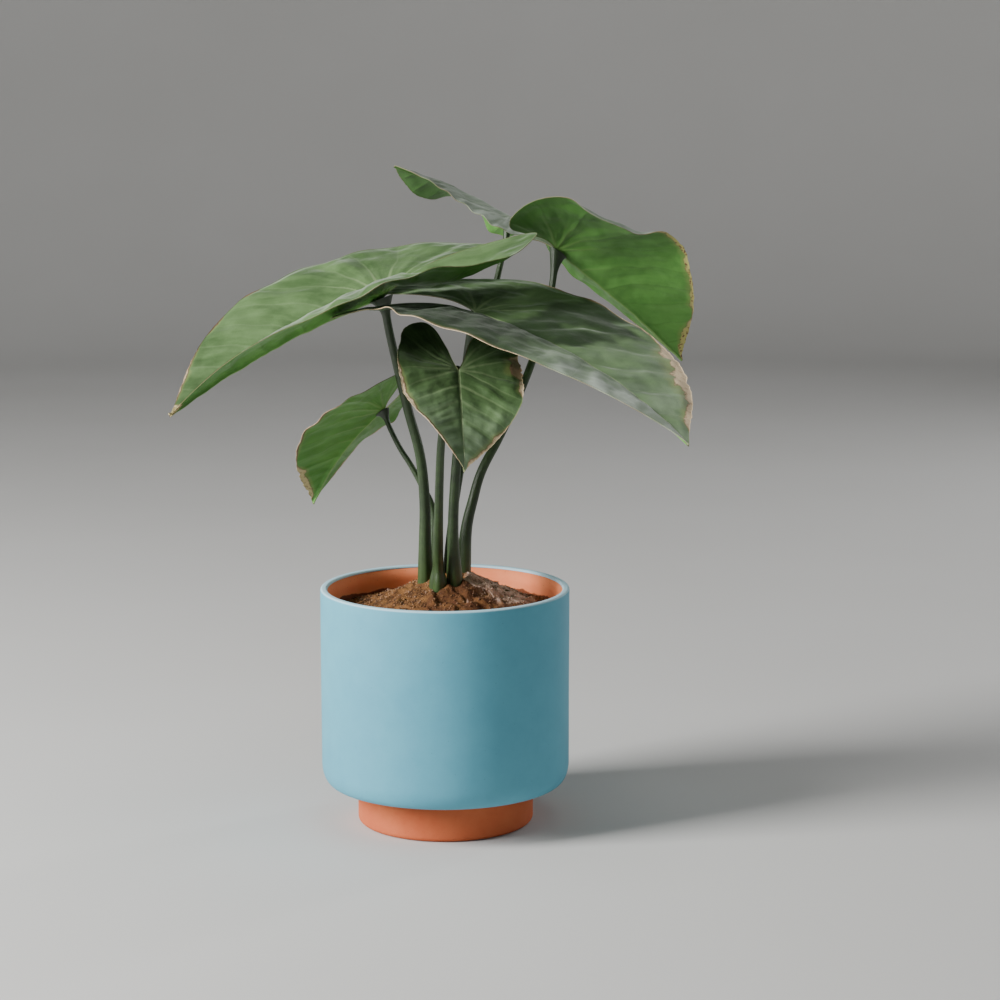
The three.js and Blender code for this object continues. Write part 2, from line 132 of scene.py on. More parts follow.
class NodeBench:
    """Places nodes in one node tree and links them."""

    def __init__(self, tree: bpy.types.NodeTree) -> None:
        """Works in tree."""
        self.tree = tree

    def feed(self, node: bpy.types.Node, inputs: dict) -> None:
        """Links or sets inputs of a node.

        Args:
            node: The node.
            inputs: By name or number, a socket to link from, a number, or a colour of three numbers.
        """
        for key, value in inputs.items():
            if isinstance(value, Socket):
                self.tree.links.new(value, node.inputs[key])
            else:
                colour = isinstance(value, tuple) and len(value) == 3
                node.inputs[key].default_value = (*value, 1.0) if colour else value

    def add(self, kind: str, inputs: dict | None = None, **settings: object) -> bpy.types.Node:
        """Adds a node.

        Args:
            kind: The node's Blender type without its ShaderNode prefix.
            inputs: What feed takes.
            settings: Properties of the node.

        Returns:
            The new node.
        """
        node = self.tree.nodes.new("ShaderNode" + kind)
        for name, value in settings.items():
            setattr(node, name, value)
        self.feed(node, inputs or {})
        return node

    def group(self, tree: bpy.types.NodeTree, **inputs: object) -> bpy.types.Node:
        """Places a shader node group.

        Args:
            tree: The group.
            inputs: Its inputs by name, with _ for a space.

        Returns:
            The group's node.
        """
        named = {key.replace("_", " "): value for key, value in inputs.items()}
        return self.add("Group", named, node_tree=tree)

    def math(self, operation: str, *values: Value) -> Socket:
        """Result of a Math node, by Blender's name of its operation."""
        return self.add("Math", dict(enumerate(values)), operation=operation).outputs[0]

    def times(self, first: Value, second: Value) -> Socket:
        """Product of two values."""
        return self.math("MULTIPLY", first, second)

    def over(self, first: Value, second: Value) -> Socket:
        """First value divided by the second."""
        return self.math("DIVIDE", first, second)

    def plus(self, first: Value, second: Value) -> Socket:
        """Sum of two values."""
        return self.math("ADD", first, second)

    def minus(self, first: Value, second: Value) -> Socket:
        """First value less the second."""
        return self.math("SUBTRACT", first, second)

    def larger(self, first: Value, second: Value) -> Socket:
        """The larger of two values."""
        return self.math("MAXIMUM", first, second)

    def scaled(self, value: Value, factor: Value, offset: Value) -> Socket:
        """A value times a factor, plus an offset."""
        return self.math("MULTIPLY_ADD", value, factor, offset)

    def ramp(self, value: Socket, start: Value, end: Value) -> Socket:
        """Maps a value smoothly from start..end to 0..1."""
        inputs = {"Value": value, "From Min": start, "From Max": end}
        return self.add("MapRange", inputs, interpolation_type="SMOOTHSTEP").outputs[0]

    def mix(self, share: Value, first: Colour | Socket, second: Colour | Socket) -> Socket:
        """Mixes two colours, share being that of the second."""
        return self.add("Mix", {0: share, 6: first, 7: second}, data_type="RGBA").outputs[2]

    def noise(self, place: Socket, scale: Value, detail: float = 2.0, roughness: float = 0.5,
              distortion: float = 0.0) -> Socket:
        """Cloudy noise.

        Args:
            place: Where it is read.
            scale: How many clouds a unit holds.
            detail: How many finer layers it has.
            roughness: Strength of the finer layers.
            distortion: How far it is warped.

        Returns:
            Its value, about 0 to 1.
        """
        inputs = {"Vector": place, "Scale": scale, "Detail": detail, "Roughness": roughness}
        return self.add("TexNoise", {**inputs, "Distortion": distortion}).outputs[0]

    def place(self) -> Socket:
        """Place on the object, metres."""
        return self.add("TexCoord").outputs["Object"]

    def parts(self, vector: Socket) -> list[Socket]:
        """The three numbers of a vector."""
        return list(self.add("SeparateXYZ", {0: vector}).outputs)

    def flat(self, first: Value, second: Value) -> Socket:
        """A vector of two numbers and 0."""
        return self.add("CombineXYZ", {0: first, 1: second}).outputs[0]

    def length(self, vector: Socket) -> Socket:
        """Length of a vector."""
        return self.add("VectorMath", {0: vector}, operation="LENGTH").outputs["Value"]

    def attribute(self, name: str) -> list[Socket]:
        """The three numbers of a mesh attribute."""
        return self.parts(self.add("Attribute", attribute_name=name).outputs["Vector"])


class SharedEffects:
    """The shader node groups that several finishes use, each made once."""

    FINER_CLOUDS = 6.3
    FINE_SHARE = 0.45
    PIT_SCALE = 0.35
    PIT_FROM = 0.78
    FINE_VEIN_WIDTH = 0.75
    SCORCH_WILDNESS = 2.6

    def __init__(self) -> None:
        """Builds all groups."""
        self.mottle = self._mottle()
        self.grain = self._grain()
        self.veins = self._veins()
        self.scorch = self._scorch()

    @staticmethod
    def _start(name: str, inputs: dict[str, float | Colour], outputs: dict[str, str]) -> tuple:
        """Starts a group.

        Args:
            name: The group's name.
            inputs: Default of each input: a number or a colour.
            outputs: Socket type of each output, without its prefix.

        Returns:
            The bench, the inputs' sockets by name, and the output node.
        """
        tree = bpy.data.node_groups.new(name, "ShaderNodeTree")
        for label, default in inputs.items():
            colour = isinstance(default, tuple)
            kind = "NodeSocketColor" if colour else "NodeSocketFloat"
            socket = tree.interface.new_socket(name=label, in_out="INPUT", socket_type=kind)
            socket.default_value = (*default, 1.0) if colour else default
        for label, kind in outputs.items():
            tree.interface.new_socket(name=label, in_out="OUTPUT", socket_type="NodeSocket" + kind)
        source = tree.nodes.new("NodeGroupInput")
        sink = tree.nodes.new("NodeGroupOutput")
        return NodeBench(tree), {s.name: s for s in source.outputs if s.name}, sink

    def _mottle(self) -> bpy.types.NodeTree:
        """Cloudy variation between two colours, over object space.

        Returns:
            The group.
        """
        inputs = {"Light": (1.0, 1.0, 1.0), "Dark": (0.0, 0.0, 0.0), "Scale": 20.0, "Contrast": 1.0}
        bench, given, sink = self._start("mottle", inputs, {"Color": "Color", "Mask": "Float"})
        place = bench.place()
        broad = bench.noise(place, given["Scale"], detail=4.0)
        fine_scale = bench.times(given["Scale"], self.FINER_CLOUDS)
        fine = bench.noise(place, fine_scale, detail=5.0, roughness=0.65)
        both = bench.scaled(fine, self.FINE_SHARE, bench.times(broad, 1 - self.FINE_SHARE))
        spread = bench.times(bench.minus(both, 0.5), given["Contrast"])
        mask = bench.add("Clamp", {0: bench.scaled(spread, 3.0, 0.5)}).outputs[0]
        bench.feed(sink, {"Color": bench.mix(mask, given["Dark"], given["Light"]), "Mask": mask})
        return bench.tree

    def _grain(self) -> bpy.types.NodeTree:
        """Fine surface grain and pits, over object space.

        Returns:
            The group.
        """
        inputs, outputs = {"Scale": 900.0, "Pits": 0.0}, {"Height": "Float", "Pit Mask": "Float"}
        bench, given, sink = self._start("grain", inputs, outputs)
        place = bench.place()
        fine = bench.noise(place, given["Scale"], detail=4.0, roughness=0.7)
        pit_scale = bench.times(given["Scale"], self.PIT_SCALE)
        cells = bench.add("TexVoronoi", {"Vector": place, "Scale": pit_scale})
        pit = bench.times(bench.ramp(cells.outputs["Distance"], 0.16, 0.05), given["Pits"])
        chance = bench.add("SeparateColor", {0: cells.outputs["Color"]}).outputs[0]
        pit = bench.times(pit, bench.ramp(chance, self.PIT_FROM, self.PIT_FROM + 0.02))
        bench.feed(sink, {"Height": bench.minus(fine, pit), "Pit Mask": pit})
        return bench.tree

    def _veins(self) -> bpy.types.NodeTree:
        """A leaf's veins: midrib, side veins, and the finer ones between them.

        Returns:
            The group.
        """
        inputs = {"Sharpness": 1.0, "Fineness": 5.0}
        outputs = {"Main": "Float", "Side": "Float", "Fine": "Float", "Net": "Float"}
        bench, given, sink = self._start("veins", inputs, outputs)
        count, reach, width = bench.attribute("blade_vein")
        along, across, _ = bench.attribute("blade_place")
        _, rib, _ = bench.attribute("blade_edge")
        place = bench.flat(along, across)
        main = bench.ramp(bench.math("ABSOLUTE", across), rib, bench.times(rib, 0.35))
        width = bench.over(width, given["Sharpness"])
        off_side = bench.times(bench.math("PINGPONG", count, 0.5), reach)
        side = bench.ramp(off_side, width, bench.times(width, 0.2))
        wobble = bench.noise(place, 0.11)
        finer = bench.plus(bench.times(count, given["Fineness"]), bench.times(wobble, 1.6))
        finer_reach = bench.over(reach, given["Fineness"])
        off_fine = bench.times(bench.math("PINGPONG", finer, 0.5), finer_reach)
        fine = bench.ramp(off_fine, bench.times(width, self.FINE_VEIN_WIDTH), 0.0)
        cells = bench.add("TexVoronoi", {"Vector": place, "Scale": 0.42}, feature="DISTANCE_TO_EDGE")
        net = bench.ramp(cells.outputs["Distance"], 0.1, 0.0)
        bench.feed(sink, {"Main": main, "Side": side, "Fine": fine, "Net": net})
        return bench.tree

    def _scorch(self) -> bpy.types.NodeTree:
        """Dried stretches of a leaf's margin: the dry skin, its brown rim, and what lies around them.

        Returns:
            The group.
        """
        outputs = dict.fromkeys(("Dry", "Rim", "Yellow", "Line", "Spots"), "Float")
        bench, given, sink = self._start("margin_scorch", {"Raggedness": 1.0}, outputs)
        along, across, inward = bench.attribute("blade_place")
        depth, _, _ = bench.attribute("blade_edge")
        place = bench.flat(along, across)
        broad = bench.noise(place, 0.09, detail=5.0, roughness=0.6)
        wild = bench.times(bench.minus(broad, 0.5), given["Raggedness"])
        edge = bench.times(depth, bench.scaled(wild, self.SCORCH_WILDNESS, 1.0))
        past = bench.minus(edge, inward)
        slow = bench.noise(place, 0.04, detail=3.0)
        patchy = bench.larger(bench.ramp(slow, 0.44, 0.6), bench.ramp(depth, 0.1, 1.0))
        rim = bench.minus(bench.ramp(past, -0.7, 0.1), bench.ramp(past, 0.3, 1.6))
        relative = bench.over(past, bench.larger(depth, 0.5))
        cells = bench.add("TexVoronoi", {"Vector": place, "Scale": 0.4})
        bench.feed(sink, {
            "Dry": bench.ramp(past, 0.05, 0.5),
            "Rim": bench.times(rim, bench.scaled(patchy, 0.8, 0.2)),
            "Yellow": bench.ramp(relative, -1.6, 0.2),
            "Line": bench.times(bench.ramp(inward, 0.9, 0.35), patchy),
            "Spots": bench.ramp(cells.outputs["Distance"], 0.42, 0.24),
        })
        return bench.tree


@dataclass(frozen=True)
class Surface:
    """What feeds a Principled shader: sockets, the relief's strength and depth in mm, and the gloss."""

    colour: Socket
    roughness: Socket
    relief: Socket
    bump: float
    depth: float
    specular: float
    sheen: float = 0.0
    sheen_roughness: float = 0.4

    def wire(self, bench: NodeBench, shader: bpy.types.Node) -> None:
        """Links the shader.

        Args:
            bench: Bench of the material.
            shader: Its Principled shader.
        """
        inputs = {"Height": self.relief, "Strength": self.bump, "Distance": self.depth * MM}
        bench.feed(shader, {
            "Base Color": self.colour,
            "Roughness": self.roughness,
            "Normal": bench.add("Bump", inputs).outputs[0],
            "Specular IOR Level": self.specular,
            "Sheen Weight": self.sheen,
            "Sheen Roughness": self.sheen_roughness,
        })


def new_material(name: str) -> tuple[bpy.types.Material, NodeBench, bpy.types.Node]:
    """Starts a material with a Principled shader.

    Args:
        name: The material's name.

    Returns:
        The material, a bench for its nodes, and the shader.
    """
    material = bpy.data.materials.new(name)
    material.use_nodes = True
    shader = material.node_tree.nodes["Principled BSDF"]
    return material, NodeBench(material.node_tree), shader


class Finish:
    """A procedural finish. Each kind says in surface what feeds its shader."""

    name: str

    def surface(self, bench: NodeBench, effects: SharedEffects) -> Surface:
        """What feeds the shader, from a bench of the material and the shared node groups."""
        raise NotImplementedError

    def material(self, effects: SharedEffects) -> bpy.types.Material:
        """Builds the material.

        Args:
            effects: The shared node groups.

        Returns:
            The material.
        """
        material, bench, shader = new_material(self.name)
        self.surface(bench, effects).wire(bench, shader)
        return material


@dataclass(frozen=True)
class GlazeFinish(Finish):
    """Matte blue glaze, faintly clouded, paler where it thins at the rim, with a painted highlight there and
    painted light on the lip's inner face.
    """

    name: str = "blue_glaze"
    light: Colour = srgb(98, 172, 194)
    dark: Colour = srgb(86, 158, 182)
    # Pale rim colour: thinner glaze, with a painted highlight on the rim and painted light on the shaded
    # inner face of the lip.
    rim: Colour = srgb(200, 234, 250)
    speck: Colour = srgb(76, 126, 146)
    cloud_scale: float = 9.0
    cloud_contrast: float = 0.9
    grain_scale: float = 620.0
    speck_share: float = 0.35
    rim_share: float = 0.8
    rim_z: float = 191.8
    rim_band: float = 1.5
    painted_light_lip_radius: float = 98.0
    painted_light_lip_z: float = 189.0
    blur: float = 0.5
    roughness: float = 0.5
    roughness_spread: float = 0.12

    def surface(self, bench: NodeBench, effects: SharedEffects) -> Surface:
        """Clouds, specks, and the pale rim: thinner glaze, a painted highlight, and painted light on the lip.

        Args:
            bench: Bench of the material.
            effects: The shared node groups.

        Returns:
            What feeds the shader.
        """
        cloud = bench.group(effects.mottle, Light=self.light, Dark=self.dark, Scale=self.cloud_scale,
                            Contrast=self.cloud_contrast)
        grain = bench.group(effects.grain, Scale=self.grain_scale, Pits=1.0)
        east, north, height = bench.parts(bench.place())
        radius = bench.length(bench.flat(east, north))
        # Pale band at the top: thinner glaze and a painted highlight. Pale inner face of the lip: painted
        # light.
        edge = bench.ramp(height, (self.rim_z - self.rim_band) * MM, self.rim_z * MM)
        inside = bench.ramp(radius, (self.painted_light_lip_radius + self.blur) * MM, (self.painted_light_lip_radius - self.blur) * MM)
        lip = bench.times(inside, bench.ramp(height, self.painted_light_lip_z * MM, (self.painted_light_lip_z + self.blur) * MM))
        specks = bench.times(grain.outputs["Pit Mask"], self.speck_share)
        colour = bench.mix(specks, cloud.outputs["Color"], self.speck)
        colour = bench.mix(bench.times(bench.larger(edge, lip), self.rim_share), colour, self.rim)
        rough = bench.scaled(cloud.outputs["Mask"], self.roughness_spread, self.roughness)
        return Surface(colour, rough, grain.outputs["Height"], bump=0.1, depth=0.4, specular=0.3)


@dataclass(frozen=True)
class TerracottaFinish(Finish):
    """Unglazed orange clay with a fine dry grain, darker up to a wavy line just above where soil lies on it.
    """

    name: str
    light: Colour
    dark: Colour
    dust: Colour
    dust_share: float
    dark_band_z: float = -20.0
    dark_band: Colour = srgb(78, 40, 24)
    dark_band_share: float = 0.85
    wave: float = 10.0
    wave_scale: float = 60.0
    pit: Colour = srgb(150, 82, 56)
    cloud_scale: float = 14.0
    dust_scale: float = 32.0
    grain_scale: float = 1100.0
    roughness: float = 0.8
    roughness_spread: float = 0.14

    def surface(self, bench: NodeBench, effects: SharedEffects) -> Surface:
        """Clouds, dust, pits and the dark wavy band.

        Args:
            bench: Bench of the material.
            effects: The shared node groups.

        Returns:
            What feeds the shader.
        """
        cloud = bench.group(effects.mottle, Light=self.light, Dark=self.dark, Scale=self.cloud_scale,
                            Contrast=1.0)
        grain = bench.group(effects.grain, Scale=self.grain_scale, Pits=0.8)
        bloom = bench.group(effects.mottle, Scale=self.dust_scale, Contrast=1.6).outputs["Mask"]
        colour = bench.mix(bench.times(bloom, self.dust_share), cloud.outputs["Color"], self.dust)
        colour = bench.mix(grain.outputs["Pit Mask"], colour, self.pit)
        place = bench.place()
        # Darker band up to a wavy line just above the soil.
        wave = bench.noise(place, self.wave_scale, detail=3.0)
        line = bench.scaled(wave, self.wave * MM, (self.dark_band_z - self.wave / 2) * MM)
        above = bench.minus(bench.parts(place)[2], line)
        darkening = bench.times(bench.ramp(above, 0.9 * MM, -0.3 * MM), self.dark_band_share)
        colour = bench.mix(darkening, colour, self.dark_band)
        rough = bench.scaled(bloom, self.roughness_spread, self.roughness)
        return Surface(colour, rough, grain.outputs["Height"], bump=0.35, depth=0.6, specular=0.25)


@dataclass(frozen=True)
class EarthFinish(Finish):
    """Crumbly earth, or the bark and roots in it: greyer by the grain's tone, darker by its second tone:
    painted shade in front of the stalks, and dark patches.
    """

    name: str
    light: Colour
    dark: Colour
    grey: Colour
    scale: float
    # Colour of the painted shade and of the dark patches.
    darkening: Colour = srgb(86, 50, 30)
    darkening_share: float = 0.7
    grey_share: float = 1.3
    even_grey: float = 0.4
    cloudy_grey: float = 0.5
    bloom_scale: float = 0.37
    grain_scale: float = 1500.0
    roughness: float = 0.86

    def surface(self, bench: NodeBench, effects: SharedEffects) -> Surface:
        """Clouds, dry grey, and the darkening: painted shade and dark patches.

        Args:
            bench: Bench of the material.
            effects: The shared node groups.

        Returns:
            What feeds the shader.
        """
        cloud = bench.group(effects.mottle, Light=self.light, Dark=self.dark, Scale=self.scale,
                            Contrast=2.0)
        bloom = bench.group(effects.mottle, Scale=self.scale * self.bloom_scale, Contrast=1.6)
        grain = bench.group(effects.grain, Scale=self.grain_scale)
        tone, shade_and_patches, _ = bench.attribute("grain_tone")
        dry = bench.scaled(bloom.outputs["Mask"], self.cloudy_grey, self.even_grey)
        share = bench.times(dry, bench.times(tone, self.grey_share))
        colour = bench.mix(share, cloud.outputs["Color"], self.grey)
        colour = bench.mix(bench.times(shade_and_patches, self.darkening_share), colour, self.darkening)
        rough = bench.scaled(cloud.outputs["Mask"], 0.1, self.roughness)
        return Surface(colour, rough, grain.outputs["Height"], bump=0.8, depth=1.0, specular=0.2)


@dataclass(frozen=True)
class StalkFinish(Finish):
    """Smooth grey green skin of a leaf stalk, paler at the soil, with painted shade under the blade."""

    name: str = "leaf_stalk"
    light: Colour = srgb(53, 76, 37)
    dark: Colour = srgb(20, 35, 15)
    base: Colour = srgb(74, 96, 52)
    base_share: float = 0.45
    base_end: float = 0.24
    painted_shade_share: float = 0.75
    painted_shade_start: float = 0.8
    streak_length: float = 5.0
    streak_count: float = 22.0
    streak_share: float = 0.4
    roughness: float = 0.34
    roughness_spread: float = 0.16

    def surface(self, bench: NodeBench, effects: SharedEffects) -> Surface:
        """Clouds, streaks that run up the stalk, a paler base, and painted shade under the blade.

        Args:
            bench: Bench of the material.
            effects: The shared node groups.

        Returns:
            What feeds the shader.
        """
        cloud = bench.group(effects.mottle, Light=self.light, Dark=self.dark, Scale=26.0, Contrast=1.2)
        share, turn, _ = bench.attribute("stalk_place")
        lines = bench.flat(bench.times(share, self.streak_length), bench.times(turn, self.streak_count))
        streak = bench.noise(lines, 1.0, detail=4.0)
        streaks = bench.ramp(streak, 0.35, 0.7)
        colour = bench.mix(bench.times(streaks, self.streak_share), cloud.outputs["Color"], self.light)
        low = bench.times(bench.ramp(share, self.base_end, 0.1), self.base_share)
        # Painted shade at the top of the stalk, under the blade.
        high = bench.times(bench.ramp(share, self.painted_shade_start, 1.0), self.painted_shade_share)
        colour = bench.mix(high, bench.mix(low, colour, self.base), self.dark)
        rough = bench.scaled(streaks, self.roughness_spread, self.roughness)
        return Surface(colour, rough, streak, bump=0.3, depth=0.8, specular=0.5)


@dataclass(frozen=True)
class LeafFinish(Finish):
    """One skin of a leaf: its greens, veins, dried margin, painted shade, and the wax and painted sheen that
    pale it at a low angle.
    """

    name: str
    light: Colour
    dark: Colour
    midrib: Colour
    vein: Colour
    vein_share: float
    roughness: float
    bump: float
    painted_sheen_share: float
    specular: float
    sheen: float = 0.0
    wax_highlight_share: float = 0.0
    fine_share: float = 0.04
    midrib_share: float = 0.8
    # Pale colour of the wax and of the painted sheen and highlights.
    wax: Colour = srgb(206, 216, 206)
    dry_light: Colour = srgb(204, 184, 150)
    dry_dark: Colour = srgb(150, 116, 84)
    pale: Colour = srgb(178, 174, 96)
    rim: Colour = srgb(98, 66, 46)
    yellow: Colour = srgb(146, 152, 88)
    # Colour of the painted shade.
    deep: Colour = srgb(24, 46, 15)
    streaks_per_vein: float = 2.6
    streak_across: float = 0.035
    streak_share: float = 0.4
    fan_reach: float = 62.0
    fan_core: float = 8.0
    fan_share: float = 0.45
    painted_sheen_from: float = 0.68
    yellow_share: float = 0.4
    line_share: float = 0.18
    rim_share: float = 0.55

    def _greens(self, bench: NodeBench, veins: bpy.types.Node, shade: Socket, place: Socket) -> Socket:
        """The living skin: streaky greens, veins that are palest round the stalk, wax with painted highlights
        and sheen, and painted shade.

        Args:
            bench: Bench of the material.
            veins: The vein group.
            shade: Cloudy variation, 0 to 1.
            place: Place in the flat blade, mm.

        Returns:
            The colour.
        """
        count, _, _ = bench.attribute("blade_vein")
        across = bench.parts(place)[1]
        turns = bench.times(count, self.streaks_per_vein)
        lines = bench.flat(turns, bench.times(across, self.streak_across))
        streak = bench.noise(lines, 1.0, detail=3.0, distortion=0.5)
        shade = bench.scaled(streak, self.streak_share, bench.times(shade, 1 - self.streak_share))
        colour = bench.mix(bench.ramp(shade, 0.32, 0.68), self.dark, self.light)
        shares = {"Net": self.fine_share * 0.35, "Fine": self.fine_share, "Side": self.vein_share}
        for kind, share in shares.items():
            colour = bench.mix(bench.times(veins.outputs[kind], share), colour, self.vein)
        fan = bench.times(bench.ramp(bench.length(place), self.fan_reach, self.fan_core), self.fan_share)
        colour = bench.mix(bench.times(veins.outputs["Side"], fan), colour, self.midrib)
        colour = bench.mix(bench.times(veins.outputs["Main"], self.midrib_share), colour, self.midrib)
        # Painted sheen at a low angle and wax with painted highlights pale the skin; painted shade darkens it
        # and holds both back.
        facing = bench.add("LayerWeight", {"Blend": 0.5}).outputs["Facing"]
        painted_sheen = bench.times(bench.ramp(facing, self.painted_sheen_from, 1.0), self.painted_sheen_share)
        bloom, dusk, _ = bench.attribute("blade_wax_highlight_and_shade")
        wax_highlight_and_sheen = bench.times(bench.scaled(bloom, self.wax_highlight_share, painted_sheen), bench.minus(1.0, dusk))
        return bench.mix(wax_highlight_and_sheen, bench.mix(dusk, colour, self.deep), self.wax)

    def _dried(self, bench: NodeBench, scorch: bpy.types.Node, blotch: Socket, living: Socket) -> Socket:
        """Lays the dried margin over the living skin: tan, yellow with brown spots, or dark brown.

        Args:
            bench: Bench of the material.
            scorch: The group of the dried margin.
            blotch: Fine blotches, 0 to 1.
            living: Colour of the living skin.

        Returns:
            The colour.
        """
        _, _, paling = bench.attribute("blade_edge")
        masks = scorch.outputs
        colour = bench.mix(bench.times(masks["Yellow"], self.yellow_share), living, self.yellow)
        colour = bench.mix(bench.times(masks["Line"], self.line_share), colour, self.dry_light)
        dry = bench.mix(bench.ramp(blotch, 0.25, 0.52), self.dry_dark, self.dry_light)
        dry = bench.mix(bench.larger(bench.times(paling, 0.85), 0.0), dry, self.pale)
        dry = bench.mix(bench.larger(bench.times(paling, -0.8), 0.0), dry, self.rim)
        colour = bench.mix(masks["Dry"], colour, dry)
        rim = bench.times(masks["Rim"], bench.scaled(paling, -0.35, self.rim_share))
        spots = bench.times(bench.times(masks["Spots"], paling), masks["Dry"])
        return bench.mix(spots, bench.mix(rim, colour, self.rim), self.rim)

    def surface(self, bench: NodeBench, effects: SharedEffects) -> Surface:
        """The living skin, the dried margin over it, and their relief.

        Args:
            bench: Bench of the material.
            effects: The shared node groups.

        Returns:
            What feeds the shader.
        """
        along, across, _ = bench.attribute("blade_place")
        place = bench.flat(along, across)
        scorch = bench.group(effects.scorch, Raggedness=1.0)
        veins = bench.group(effects.veins, Sharpness=0.55, Fineness=5.0)
        broad = bench.noise(place, 0.026, detail=3.0, distortion=0.5)
        blotch = bench.noise(place, 0.3, detail=5.0, roughness=0.7)
        shade = bench.scaled(blotch, 0.16, bench.times(broad, 0.84))
        colour = self._dried(bench, scorch, blotch, self._greens(bench, veins, shade, place))
        fine = bench.times(veins.outputs["Fine"], self.fine_share * 0.6)
        raised = bench.scaled(veins.outputs["Side"], self.vein_share * 0.9, fine)
        raised = bench.scaled(veins.outputs["Main"], self.midrib_share, raised)
        relief = bench.scaled(blotch, 0.5, bench.times(raised, self.bump))
        relief = bench.scaled(scorch.outputs["Dry"], 0.8, relief)
        rough = bench.scaled(blotch, 0.18, self.roughness)
        rough = bench.larger(rough, bench.times(scorch.outputs["Dry"], 0.8))
        return Surface(colour, rough, relief, 0.5, 1.1, self.specular, self.sheen)


class Skin(Enum):
    """The sides of a leaf, with the number of each one's material slot."""

    UPPER = 0
    UNDER = 1


def add_mesh(
    name: str,
    points: Array,
    faces: list[tuple[int, ...]],
    materials: list[bpy.types.Material],
    attributes: dict[str, Array] | None = None,
    material_of: Array | None = None,
) -> bpy.types.Object:
    """Makes a smooth shaded piece.

    Args:
        name: The piece's name.
        points: Its vertices, mm.
        faces: Its faces, vertex numbers of each.
        materials: Its material slots.
        attributes: Three numbers per vertex for each name.
        material_of: Slot number of each face.

    Returns:
        The new object.
    """
    mesh = bpy.data.meshes.new(name)
    mesh.from_pydata((points * MM).tolist(), [], faces)
    mesh.polygons.foreach_set("use_smooth", [True] * len(mesh.polygons))
    for material in materials:
        mesh.materials.append(material)
    if material_of is not None:
        mesh.polygons.foreach_set("material_index", material_of.astype(np.int32))
    for label, values in (attributes or {}).items():
        layer = mesh.attributes.new(label, "FLOAT_VECTOR", "POINT")
        layer.data.foreach_set("vector", values.astype(np.float32).ravel())
    mesh.validate()
    mesh.update()
    piece = bpy.data.objects.new(name, mesh)
    bpy.context.collection.objects.link(piece)
    return piece


def dress(piece: bpy.types.Object, slot: str, *nodes: str) -> None:
    """Ties a piece to the CAD body, hides the nodes it stands for, and reports it.

    Args:
        piece: The piece.
        slot: Not used.
        nodes: CAD nodes that it replaces.
    """
    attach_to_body(piece, BODY)
    if nodes:
        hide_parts(*nodes)
    LOG.info("%s: %d faces, stands for %s", piece.name, len(piece.data.polygons), nodes or "nothing")


def tube_faces(rings: int, sides: int, first: int = 0, turned: bool = False) -> list[list[int]]:
    """Quads between rings of vertices that follow one another.

    Args:
        rings: How many rings there are.
        sides: How many vertices each ring has.
        first: Number of the first vertex.
        turned: Whether the quads face the other way.

    Returns:
        The quads.
    """
    k = np.arange(sides)
    faces = []
    for ring in range(rings - 1):
        a = first + ring * sides + k
        b = first + ring * sides + (k + 1) % sides
        corners = [a, a + sides, b + sides, b] if turned else [a, b, b + sides, a + sides]
        faces += np.stack(corners, -1).tolist()
    return faces


RIPPLE = 1.3
RIPPLES = 7
MIDRIB_STEPS = 24
OUTER_POINTS = 4
FULL_SPREAD_FROM = 9
LOBE_TIP = 11
ATTACH_SHARE = 0.6
# Half a blade's outline from its tip: share of the way from the stalk to the tip or, below 0, to the
# lobe's end, and share of the half's width.
MARGIN = (
    (1, 0), (0.94, 0.065), (0.82, 0.25), (0.64, 0.53), (0.44, 0.79), (0.24, 0.95), (0.04, 1), (-0.22, 0.96),
    (-0.5, 0.86), (-0.76, 0.68), (-0.93, 0.48), (-1, 0.33), (-0.92, 0.21), (-0.6, 0.13), (-0.25, 0.08),
    (0, 0),
)


@dataclass(frozen=True)
class Stretch:
    """A stretch of margin that is dried, rolled, or waxy with a painted highlight: shares of the way from tip
    to lobe, and its depth.

    A pale one dries yellow with brown spots instead of tan, and one that is pale below 0 dries dark brown.
    A stretch of painted shade is given in shares of the blade's length from the stalk, and how dark it is.
    """

    start: float
    end: float
    depth: float
    pale: float = 0.0

    def window(self, share: Array) -> Array:
        """1 in the stretch, easing to 0 at its ends.

        Args:
            share: Shares of the way.

        Returns:
            The value at each share.
        """
        ease = 0.25 * (self.end - self.start)
        return smooth(share, self.start, self.start + ease) * smooth(share, self.end, self.end - ease)


def strongest(stretches: tuple[Stretch, ...], share: Array) -> Array:
    """The largest depth that any stretch has at each share, 0 outside them all.

    Args:
        stretches: The stretches.
        share: The shares.

    Returns:
        The depths.
    """
    return np.max([np.zeros_like(share), *[s.depth * s.window(share) for s in stretches]], axis=0)


@dataclass(frozen=True)
class HalfBlade:
    """One half of a blade: width, fold at the midrib, curl, trough of the lobe, and slow wave."""

    width: float
    fold: float
    curl: float
    cup: float
    belly: float
    wave: float
    phase: float
    lobe_fold: float = 0.0
    reach: float = 1.0
    scorches: tuple[Stretch, ...] = ()
    rolls: tuple[Stretch, ...] = ()
    blooms: tuple[Stretch, ...] = ()
    dusks: tuple[Stretch, ...] = ()


@dataclass(frozen=True)
class StalkRoute:
    """The way of a leaf stalk up to its blade, its radius low and high, and how its base is swollen."""

    points: tuple[Point, ...]
    low: float
    high: float
    swell: float = 0.0


